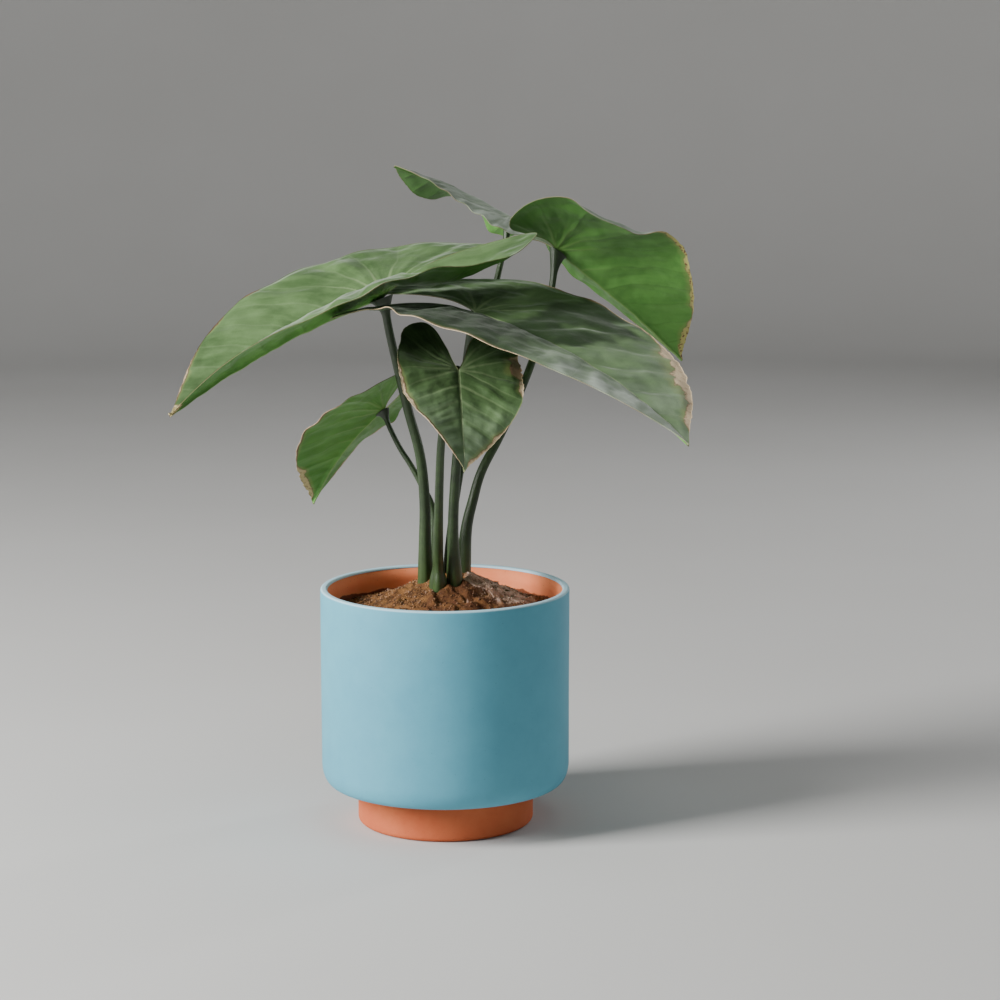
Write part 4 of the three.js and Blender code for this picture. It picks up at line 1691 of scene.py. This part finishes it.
@dataclass
class Soil:
    """The mound of soil, the crumbs and bark on it, and the roots that show at the stalks."""

    rim: float = 94.1
    edge_z: float = 173.0
    crown_z: float = 200.0
    crown: tuple[float, float] = (6.0, 6.0)
    crown_radius: float = 16.0
    lump: float = 1.6
    base_z: float = 150.0
    gaps: tuple[Pair, ...] = ((130.0, 17.0), (54.0, 22.0))
    gap_depth: float = 4.0
    gap_width: float = 3.0
    warp: float = 9.0
    clods: tuple[tuple[float, float, int, float], ...] = (
        (0.8, 14, 3, 2.0), (0.34, 3.0, 3, 5.0), (0.34, 1.2, 2, 9.0),
    )
    root_height: float = 1.3
    rings: int = 170
    sectors: int = 400
    crumbs: Grains = Grains("soil_crumbs", 5200, 0.32, 0.85, 3, (1.0, 0.85, 0.75))
    chips: Grains = Grains("bark_chips", 16, 0.9, 1.2, 2, (2.4, 0.9, 0.45), fine=True)
    clear: float = 7.5
    roots: int = 12
    root_sides: int = 10
    root_steps: int = 26
    root_centre: Pair = (3.0, 3.0)
    root_from: float = -42.0
    root_fan: float = 118.0
    root_start: float = 15.0
    root_length: float = 14.0
    root_longer: float = 26.0
    root_radius: float = 1.0
    root_thicker: float = 0.7
    root_taper: float = 0.7
    root_bend: float = 0.32
    knot: float = 0.16
    seed: int = 11

    def height(self, x: Array, y: Array) -> Array:
        """Height of the soil, as in the part's source, with clods and a sunken edge.

        Args:
            x: Places across.
            y: Places to the back.

        Returns:
            The height at each place.
        """
        _, from_crown = self._from_crown(x, y)
        nearest = self.rim - math.hypot(*self.crown)
        t = np.clip((from_crown - self.crown_radius) / (nearest - self.crown_radius), 0, 1)
        places = np.stack([x, y], -1)
        east = x + self.warp * noise_at(places, 22, 2, 31.0)
        north = y + self.warp * noise_at(places, 22, 2, 47.0)
        lumps = (
            np.sin(east * 0.31 + 1.3) * np.cos(north * 0.27 - 0.6)
            + 0.7 * np.sin(east * 0.13 - north * 0.22 + 2.1)
            + 0.4 * np.cos(east * 0.52 + north * 0.45)
        )
        mound = self.edge_z + (self.crown_z - self.edge_z) * (1 - t) ** 1.35
        mound = mound + self.lump * lumps * np.clip(1.4 - t, 0, 1)
        clods = sum(tall * noise_at(places, *layer) for tall, *layer in self.clods)
        clods = clods + self.root_height * self.rooty(x, y) * self._streaks(x, y)
        turn = np.degrees(np.arctan2(y, x))
        bank = 0.3 + 0.5 * noise_at(places, 18, 2, 8.0)
        for middle, half in self.gaps:
            bank = bank + np.exp(-(((turn - middle) / half) ** 2))
        near_rim = np.exp(-(((self.rim - np.hypot(x, y)) / self.gap_width) ** 2))
        return mound + clods - self.gap_depth * np.clip(bank, 0.05, 1.4) * near_rim

    def _from_crown(self, x: Array, y: Array) -> tuple[Array, Array]:
        """Direction of each place from the crown, in radians, and its distance."""
        east, north = x - self.crown[0], y - self.crown[1]
        return np.arctan2(north, east), np.hypot(east, north)

    def rooty(self, x: Array, y: Array) -> Array:
        """How much of the soil at each place is matted roots: the right and back right of the mound.

        Args:
            x: Places across.
            y: Places to the back.

        Returns:
            The share, 0 to 1.
        """
        turn, reach = self._from_crown(x, y)
        turn = np.degrees(turn) + 14 * noise_at(np.stack([x, y], -1), 12, 3, 13.0)
        return smooth(turn, -58, -12) * smooth(turn, 135, 90) * smooth(reach, 8, 16) * smooth(reach, 80, 45)

    def darkening(self, x: Array, y: Array) -> Array:
        """How much darker the soil is at each place: painted shade in front of the stalks, and dark patches.

        Args:
            x: Places across.
            y: Places to the back.

        Returns:
            The share, 0 to 1.
        """
        turn = np.degrees(self._from_crown(x, y)[0])
        patches = smooth(noise_at(np.stack([x, y], -1), 16, 3, 6.0), -0.1, 0.4)
        # Painted shade on the front of the mound, before the stalks.
        front = smooth(turn, -132, -100) * smooth(turn, -30, -60)
        return np.clip(0.3 * patches + front * (0.65 + 0.35 * patches), 0, 1)

    def _streaks(self, x: Array, y: Array) -> Array:
        """Streaks that run out from the crown.

        Args:
            x: Places across.
            y: Places to the back.

        Returns:
            Their height, about -1 to 1.
        """
        turn, reach = self._from_crown(x, y)
        return noise_at(np.stack([turn * 26, reach * 0.35], -1), 2.2, 3, 4.0)

    def build(self, stalks: list[Leaf], earth: bpy.types.Material, crumb: bpy.types.Material,
              bark: bpy.types.Material) -> None:
        """Makes all pieces of the soil.

        Args:
            stalks: The leaves whose stalks stand in it.
            earth: Material of the mound.
            crumb: Material of the crumbs.
            bark: Material of the chips and roots.
        """
        self._mound(earth)
        draw = np.random.default_rng(self.seed)
        centres = np.array([leaf.route.points[1][:2] for leaf in stalks])
        self._scatter(draw, self.crumbs, centres, crumb)
        self._scatter(draw, self.chips, centres, bark)
        self._roots(draw, bark)

    def _mound(self, earth: bpy.types.Material) -> None:
        """Makes the mound.

        Args:
            earth: Its material.
        """
        share = (1 - np.arange(self.rings) / self.rings) ** 0.85
        turn = 2 * np.pi * np.arange(self.sectors) / self.sectors
        x = (self.rim * share[:, None] * np.cos(turn)).ravel()
        y = (self.rim * share[:, None] * np.sin(turn)).ravel()
        top = np.stack([x, y, self.height(x, y)], -1)
        skirt = top[: self.sectors] * [1, 1, 0] + [0, 0, self.base_z]
        crown = np.array([[0, 0, float(self.height(np.zeros(1), np.zeros(1))[0])]])
        points = np.concatenate([skirt, top, crown, [[0, 0, self.base_z]]])
        faces = tube_faces(self.rings + 1, self.sectors)
        last, middle = self.rings * self.sectors, len(points) - 2
        for i in range(self.sectors):
            following = (i + 1) % self.sectors
            faces += [(last + i, last + following, middle), (following, i, middle + 1)]
        x, y = points[:, 0], points[:, 1]
        pale = self.rooty(x, y) * np.clip(0.75 + 1.4 * self._streaks(x, y), 0, 1)
        tones = {"grain_tone": np.stack([pale, self.darkening(x, y), np.zeros_like(x)], -1)}
        dress(add_mesh("soil_mound", points, faces, [earth], tones), "soil", "soil")

    @staticmethod
    def _pebble(fine: bool) -> tuple[Array, Array]:
        """A round body of 12 vertices, or of 42 if fine, to make grains from.

        Args:
            fine: Whether each triangle is split in four.

        Returns:
            Its vertices at radius 1, and its triangles.
        """
        g = (1 + 5**0.5) / 2
        points = [(-1, g, 0), (1, g, 0), (-1, -g, 0), (1, -g, 0), (0, -1, g), (0, 1, g),
                  (0, -1, -g), (0, 1, -g), (g, 0, -1), (g, 0, 1), (-g, 0, -1), (-g, 0, 1)]
        faces = [(0, 11, 5), (0, 5, 1), (0, 1, 7), (0, 7, 10), (0, 10, 11), (1, 5, 9), (5, 11, 4),
                 (11, 10, 2), (10, 7, 6), (7, 1, 8), (3, 9, 4), (3, 4, 2), (3, 2, 6), (3, 6, 8),
                 (3, 8, 9), (4, 9, 5), (2, 4, 11), (6, 2, 10), (8, 6, 7), (9, 8, 1)]
        points = [tuple(unit(np.array(p, float))) for p in points]
        if not fine:
            return np.array(points), np.array(faces)
        halves: dict[tuple[int, int], int] = {}
        finer = []
        for face in faces:
            mids = []
            for a, b in zip(face, face[1:] + face[:1]):
                key = (min(a, b), max(a, b))
                if key not in halves:
                    halves[key] = len(points)
                    points.append(tuple(unit(np.array(points[a]) + np.array(points[b]))))
                mids.append(halves[key])
            a, b, c = face
            finer += [(a, mids[0], mids[2]), (b, mids[1], mids[0]), (c, mids[2], mids[1]), tuple(mids)]
        return np.array(points), np.array(finer)

    @staticmethod
    def _tumble(draw: np.random.Generator) -> Array:
        """A turn by chance any way about the vertical, after slight tilts.

        Args:
            draw: Source of chance.

        Returns:
            The matrix of the turn.
        """
        a, b, c = draw.normal(0, 0.5, 2).tolist() + [draw.random() * 2 * np.pi]
        spin = np.array([[math.cos(c), -math.sin(c), 0], [math.sin(c), math.cos(c), 0], [0, 0, 1]])
        tip = np.array([[1, 0, 0], [0, math.cos(a), -math.sin(a)], [0, math.sin(a), math.cos(a)]])
        lean = np.array([[math.cos(b), 0, math.sin(b)], [0, 1, 0], [-math.sin(b), 0, math.cos(b)]])
        return spin @ tip @ lean

    def _scatter(self, draw: np.random.Generator, grains: Grains, centres: Array,
                 material: bpy.types.Material) -> None:
        """Scatters rough grains over the mound as one piece.

        Args:
            draw: Source of chance.
            grains: The grains.
            centres: Where stalks stand.
            material: Their material.
        """
        sizes = grains.least + grains.larger * draw.random(grains.count) ** grains.rarity
        ball, triangles = self._pebble(grains.fine)
        reach = (self.rim - 3) * np.sqrt(draw.random(grains.count * 2))
        turn = 2 * np.pi * draw.random(grains.count * 2)
        x, y = reach * np.cos(turn), reach * np.sin(turn)
        gaps = np.hypot(x[:, None] - centres[:, 0], y[:, None] - centres[:, 1]).min(axis=1)
        keep = np.flatnonzero(gaps > self.clear)[: grains.count]
        x, y = x[keep], y[keep]
        z, rooty, darkening = self.height(x, y), self.rooty(x, y), self.darkening(x, y)
        points, faces, tones = [], [], []
        for i in range(len(keep)):
            rough = 1 + 0.28 * np.sin(ball @ draw.normal(0, 2.6, 3) + draw.random() * 6)
            rough = rough * (1 + 0.12 * draw.normal(0, 1, len(ball)))
            body = ball * rough[:, None] * np.array(grains.shape) * sizes[i]
            place = [x[i], y[i], z[i] + 0.25 * sizes[i] * grains.shape[2]]
            points.append(body @ self._tumble(draw).T + place)
            faces.append(triangles + i * len(ball))
            tones.append(np.tile([0.25 * draw.random() + 0.75 * rooty[i], darkening[i], 0], (len(ball), 1)))
        piece = add_mesh(grains.name, np.concatenate(points), np.concatenate(faces).tolist(), [material],
                         {"grain_tone": np.concatenate(tones)})
        dress(piece, "soil")

    def _root(self, draw: np.random.Generator, number: int) -> Array:
        """Rings of one root, which runs out from the stalks over the mound.

        Args:
            draw: Source of chance.
            number: The root's number.

        Returns:
            The points, ring after ring.
        """
        way = math.radians(self.root_from + self.root_fan * (number + 0.6 * draw.random()) / self.roots)
        t = np.linspace(0, 1, self.root_steps)
        reach = self.root_start + (self.root_length + self.root_longer * draw.random()) * t
        bend = way + self.root_bend * (draw.random() - 0.5) * t + 0.05 * np.sin(9 * t + number)
        x, y = reach * np.cos(bend) + self.root_centre[0], reach * np.sin(bend) + self.root_centre[1]
        thick = (self.root_radius + self.root_thicker * draw.random()) * (1 - self.root_taper * t)
        line = np.stack([x, y, self.height(x, y) + 0.1 * thick], -1)
        line[:, 2] = np.convolve(np.pad(line[:, 2], 2, mode="edge"), np.ones(5) / 5, "valid")
        ahead = unit(np.gradient(line, axis=0))
        across = unit(np.cross(ahead, [0, 0, 1.0]))[:, None, :]
        over = np.cross(across, ahead[:, None, :])
        turn = 2 * np.pi * np.arange(self.root_sides) / self.root_sides
        knots = 1 + self.knot * np.sin(t[:, None] * 23 + turn[None, :] * 2 + number)
        spokes = across * np.cos(turn)[None, :, None] + over * np.sin(turn)[None, :, None]
        return (line[:, None, :] + spokes * (thick[:, None] * knots)[..., None]).reshape(-1, 3)

    def _roots(self, draw: np.random.Generator, bark: bpy.types.Material) -> None:
        """Lays thin woody roots from the stalks down the right of the mound.

        Args:
            draw: Source of chance.
            bark: Their material.
        """
        points, faces, tones = [], [], []
        size = self.root_steps * self.root_sides
        for number in range(self.roots):
            start, end = number * size, (number + 1) * size
            points.append(self._root(draw, number))
            faces += tube_faces(self.root_steps, self.root_sides, start, turned=True)
            faces.append(tuple(range(start, start + self.root_sides)))
            faces.append(tuple(reversed(range(end - self.root_sides, end))))
            tones.append(np.tile([draw.random(), 0, 0], (size, 1)))
        piece = add_mesh("surface_roots", np.concatenate(points), faces, [bark],
                         {"grain_tone": np.concatenate(tones)})
        dress(piece, "soil")


# Painted shade on leaves a, b, c and e, on both halves alike.
A_PAINTED_SHADE = (Stretch(0.55, 2.75, 0.34),)
B_PAINTED_SHADE = (Stretch(-1.8, 0.6, 0.3),)
C_PAINTED_SHADE = (Stretch(-0.1, 3.5, 0.68),)
E_PAINTED_SHADE = (Stretch(-3.0, 0.6, 0.68),)
LEAVES = (
    Leaf(
        "a", (-47, -20, 427), 205, -18, 6, 27, 21, -3, 14, 12, 6, 214, 0.58, 0.36, 0.09, 2,
        HalfBlade(78, 26, -48, 36, 20, -3, -38, scorches=(Stretch(-0.06, 0.09, 5.0, 0.6),), dusks=A_PAINTED_SHADE),
        HalfBlade(92, 44, -26, 16, 4, 2.3, 27,
                  scorches=(Stretch(-0.06, 0.09, 5.0, 0.6), Stretch(0.07, 0.3, 1.3), Stretch(0.16, 0.22, 2.2),
                            Stretch(0.3, 0.36, 1.8, -1.0), Stretch(0.4, 0.44, 2.0, -1.0)), dusks=A_PAINTED_SHADE),
        StalkRoute(((-16, 2, 155), (-16, 2, 200), (-16, 0, 232), (-16, -2, 263), (-19.5, -5, 300),
                    (-28.5, -9, 336), (-38, -13.5, 377), (-43.5, -16.5, 403), (-47, -20, 426)), 5.4, 3),
    ),
    Leaf(
        "b", (90, 62, 457), 19, -36, 3, 22, 36, -8, -13, -8, 0, 158, 0.3, 0.3, -0.3, 2,
        HalfBlade(62, 33, -23, -3.5, 0, 2.2, -55, lobe_fold=-37, scorches=(Stretch(-0.05, 0.3, 1.6, 0.8),),
                  dusks=B_PAINTED_SHADE),
        HalfBlade(97, 25, -25, -12, 0, 9, 105, lobe_fold=-1, rolls=(Stretch(0.46, 0.74, 3.5),),
                  blooms=(Stretch(0.42, 0.78, 16.0),),
                  scorches=(Stretch(-0.06, 0.22, 4.6, 1.0), Stretch(0.18, 0.52, 3.0, 1.0)),
                  dusks=B_PAINTED_SHADE),
        StalkRoute(((15, 14, 155), (15.2, 14, 204), (17, 17, 235), (22.5, 21, 259), (30, 25, 283),
                    (47, 31, 315), (68, 41, 362), (82, 51, 406), (87, 56, 430), (90, 62, 456)), 5.2, 2.4),
        crinkle=1.4,
    ),
    Leaf(
        "c", (54, 120, 481), 172, 30, 14, 4, -8, 4, 0, 17, 0, 106, 0.2, 0.34, -0.42, 1.65,
        HalfBlade(46, -12, 0, 0, 0, 1, 0, blooms=(Stretch(-0.4, 1.4, 200.0),), dusks=C_PAINTED_SHADE),
        HalfBlade(43, -18, 0, 0, 0, 11, 138, dusks=C_PAINTED_SHADE),
        StalkRoute(((2.5, 17, 155), (2.5, 17, 204), (5.5, 23, 240), (12, 36, 280), (22, 59, 336),
                    (35, 86, 399), (47, 109, 449), (53, 118, 478)), 4.2, 2.2),
        blunt=1.3, rows=130, columns=36,
    ),
    Leaf(
        "d", (24, -54, 418), -39, -11, 13, -23, 32, 50, -2, -8, 4, 253, 0.49, 0.33, -0.36, 2,
        HalfBlade(106, 12, -9, 12, 0, -1.3, 26, reach=0.88,
                  scorches=(Stretch(0.18, 0.38, 8.5), Stretch(0.08, 0.28, 4.5), Stretch(0.3, 0.52, 1.6),
                            Stretch(0.47, 0.6, 2.6, -0.8)), dusks=(Stretch(0.05, 0.37, 0.93),)),
        HalfBlade(89, 10, -17, 0, 6, 1, 118, lobe_fold=6, scorches=(Stretch(0.3, 0.9, 1.4),),
                  blooms=(Stretch(-0.3, 0.4, 60.0),), dusks=(Stretch(-0.5, 0.54, 0.94),)),
        StalkRoute(((7.3, -10, 155), (7.3, -10, 200), (6.5, -12, 240), (8.5, -14, 280), (12.5, -18, 325),
                    (17, -25, 368), (20.5, -36, 397), (23, -46, 409), (24, -53, 416.6)), 5.2, 2.6, 1),
        crinkle=1.2, tip_wax_highlight=0.26,
    ),
    Leaf(
        "e", (12, -86, 377), -86, -36, 10, 0, 13, 0, -13, -19, -16, 101, 0.46, 0.48, -0.26, 2,
        HalfBlade(51, 12, 0, 11, -3, 4.5, 26,
                  scorches=(Stretch(0.04, 0.34, 2.4), Stretch(0.44, 0.56, 3.0),
                            Stretch(0.52, 0.72, 8.0, -0.9)),
                  dusks=E_PAINTED_SHADE),
        HalfBlade(49, 3, -12, -6, 3, 5, 202, scorches=(Stretch(0.1, 0.4, 1.3), Stretch(0.3, 0.56, 2.2)),
                  dusks=E_PAINTED_SHADE),
        StalkRoute(((-5.4, -16, 155), (-5.4, -16, 197), (-5, -21, 222), (-4, -36, 268), (-1.5, -56, 319),
                    (4.5, -72, 352), (11.5, -85.5, 376)), 5.2, 2.3, 2),
        crinkle=1.25, tip_wax_highlight=0.24, rows=150, columns=42,
    ),
    Leaf(
        "f", (-49, 32, 331), 154, -37, 20, -25, -15, 2, 11, -14, -11, 116, 0.4, 0.33, -0.19, 2,
        HalfBlade(66, 9, -13, 6, 0, 2.1, 48,
                  scorches=(Stretch(0.04, 0.3, 5.0, 0.5), Stretch(0.26, 0.62, 1.8, -0.4))),
        HalfBlade(46, 17, -7, 4, 0, 4.5, -51, scorches=(Stretch(0.14, 0.5, 2.2),)),
        StalkRoute(((-9.8, 11, 155), (-9.8, 11, 203), (-9, 13, 230), (-10.5, 16, 254), (-20, 19, 274),
                    (-28, 22.5, 288), (-36.5, 26, 301), (-45, 29.5, 318), (-49, 32, 330)), 3.4, 1.9),
        rows=140, columns=40,
    ),
)


@dataclass(frozen=True)
class SoftBox:
    """A rectangular light: place, width and height in metres, power in watts, and colour."""

    name: str
    place: Point
    size: Pair
    power: float
    colour: Colour = (1.0, 1.0, 1.0)

    def build(self, target: Point) -> None:
        """Makes the light.

        Args:
            target: Where it faces, metres.
        """
        lamp = bpy.data.lights.new(self.name, "AREA")
        lamp.shape = "RECTANGLE"
        lamp.size, lamp.size_y = self.size
        lamp.energy = self.power
        lamp.color = self.colour
        piece = bpy.data.objects.new(self.name, lamp)
        piece.location = self.place
        piece.rotation_euler = (Vector(target) - Vector(self.place)).to_track_quat("-Z", "Y").to_euler()
        bpy.context.collection.objects.link(piece)


@dataclass
class Studio:
    """Pale floor, soft studio light, and the camera at the photograph's viewing angle."""

    floor_middle: float = 1000.0
    floor_reach: float = 3300.0
    floor_bend: float = 1500.0
    floor_edge: float = 2400.0
    floor_light: Colour = srgb(205, 205, 204)
    floor_dark: Colour = srgb(199, 199, 197)
    floor_roughness: float = 0.85
    sky: Colour = (0.82, 0.83, 0.85)
    sky_strength: float = 0.1
    lit: Point = (0.0, 0.0, 0.3)
    lights: tuple[SoftBox, ...] = (
        SoftBox("key", (-2.18, -0.9, 1.36), (0.9, 1.4), 163.0, (1.0, 0.985, 0.96)),
        SoftBox("fill", (2.3, -0.5, 1.1), (1.5, 1.5), 4.0, (0.97, 0.985, 1.0)),
        SoftBox("edge", (1.9, 1.7, 1.0), (0.3, 1.2), 15.0),
        SoftBox("top", (0.4, -0.6, 2.4), (0.9, 0.9), 8.0),
    )
    camera_place: Point = (29.36, -2125.44, 619.31)
    camera_tilt: float = 80.467
    camera_turn: float = -0.3997
    lens: float = 97.1

    def build(self) -> None:
        """Makes floor, lights and camera."""
        self._floor()
        self._sky()
        for light in self.lights:
            light.build(self.lit)
        self._camera()

    def _floor(self) -> None:
        """Makes the pale floor, which bends up into a backdrop all round."""
        bend = arc(self.floor_reach, self.floor_bend, self.floor_bend, self.floor_bend, -90, 0, 24)
        wide = self.floor_reach + self.floor_bend
        profile = [(0.0, 0.0), (self.floor_middle, 0.0), *bend, (wide, self.floor_edge)]
        points, faces = lathe(profile, 96)
        material, bench, shader = new_material("pale_floor")
        colour = bench.mix(bench.noise(bench.place(), 3.0), self.floor_dark, self.floor_light)
        bench.feed(shader, {"Base Color": colour, "Roughness": self.floor_roughness})
        add_mesh("studio_floor", points - [0, 0, 0.2], faces, [material])

    def _sky(self) -> None:
        """Sets an even pale surround."""
        world = bpy.data.worlds.new("studio")
        world.use_nodes = True
        background = world.node_tree.nodes["Background"]
        background.inputs["Color"].default_value = (*self.sky, 1.0)
        background.inputs["Strength"].default_value = self.sky_strength
        bpy.context.scene.world = world

    def _camera(self) -> None:
        """Makes the camera."""
        camera = bpy.data.cameras.new("camera")
        camera.lens = self.lens
        camera.sensor_width = 36.0
        camera.clip_end = 60.0
        piece = bpy.data.objects.new("camera", camera)
        piece.location = [c * MM for c in self.camera_place]
        piece.rotation_euler = (math.radians(self.camera_tilt), 0.0, math.radians(self.camera_turn))
        bpy.context.collection.objects.link(piece)
        bpy.context.scene.camera = piece


UPPER_SKIN = LeafFinish(
    "leaf_upper", light=srgb(98, 128, 80), dark=srgb(60, 88, 46), midrib=srgb(150, 170, 124),
    vein=srgb(132, 156, 112), vein_share=0.17, roughness=0.47, bump=-0.5, painted_sheen_share=0.35, specular=0.36,
    sheen=0.08, wax_highlight_share=0.7,
)
UNDER_SKIN = LeafFinish(
    "leaf_under", light=srgb(98, 154, 70), dark=srgb(74, 128, 50), midrib=srgb(128, 166, 92),
    vein=srgb(64, 112, 38), vein_share=0.25, roughness=0.5, bump=0.7, painted_sheen_share=0.1, specular=0.35,
)
# One terracotta in two copies: the liner's is painted lighter, as painted light in the pot's shaded inside,
# and the foot's is darker, as painted shade.
PAINTED_LIGHT_TERRACOTTA = TerracottaFinish(
    "terracotta_liner", light=srgb(250, 152, 106), dark=srgb(244, 136, 90), dust=srgb(250, 176, 138),
    dust_share=0.08, dark_band_z=173.6,
)
PAINTED_SHADE_TERRACOTTA = TerracottaFinish(
    "terracotta_foot", light=srgb(202, 108, 68), dark=srgb(190, 92, 56), dust=srgb(208, 130, 94),
    dust_share=0.1,
)
EARTH = EarthFinish("potting_soil", srgb(142, 100, 60), srgb(72, 46, 27), srgb(222, 190, 174), scale=130.0)
CRUMB = EarthFinish("soil_crumb", srgb(168, 122, 76), srgb(58, 38, 22), srgb(222, 192, 176), scale=220.0)
BARK = EarthFinish("bark", srgb(190, 158, 138), srgb(112, 82, 66), srgb(212, 186, 170), scale=120.0)


def write_sizes() -> None:
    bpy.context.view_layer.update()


def main() -> None:
    """Builds and dresses the plant, its pot and the studio."""
    logging.basicConfig(level=logging.INFO, format="%(message)s")
    effects = SharedEffects()
    Pot().build(*(finish.material(effects) for finish in (GlazeFinish(), PAINTED_LIGHT_TERRACOTTA, PAINTED_SHADE_TERRACOTTA)))
    earth, crumb, bark = (finish.material(effects) for finish in (EARTH, CRUMB, BARK))
    Soil().build(list(LEAVES), earth, crumb, bark)
    upper, under = UPPER_SKIN.material(effects), UNDER_SKIN.material(effects)
    skin = StalkFinish().material(effects)
    for leaf in LEAVES:
        Stalk(leaf).build(skin)
        Blade(leaf).build(upper, under)
    Studio().build()
    write_sizes()


if __name__ == "__main__":
    main()
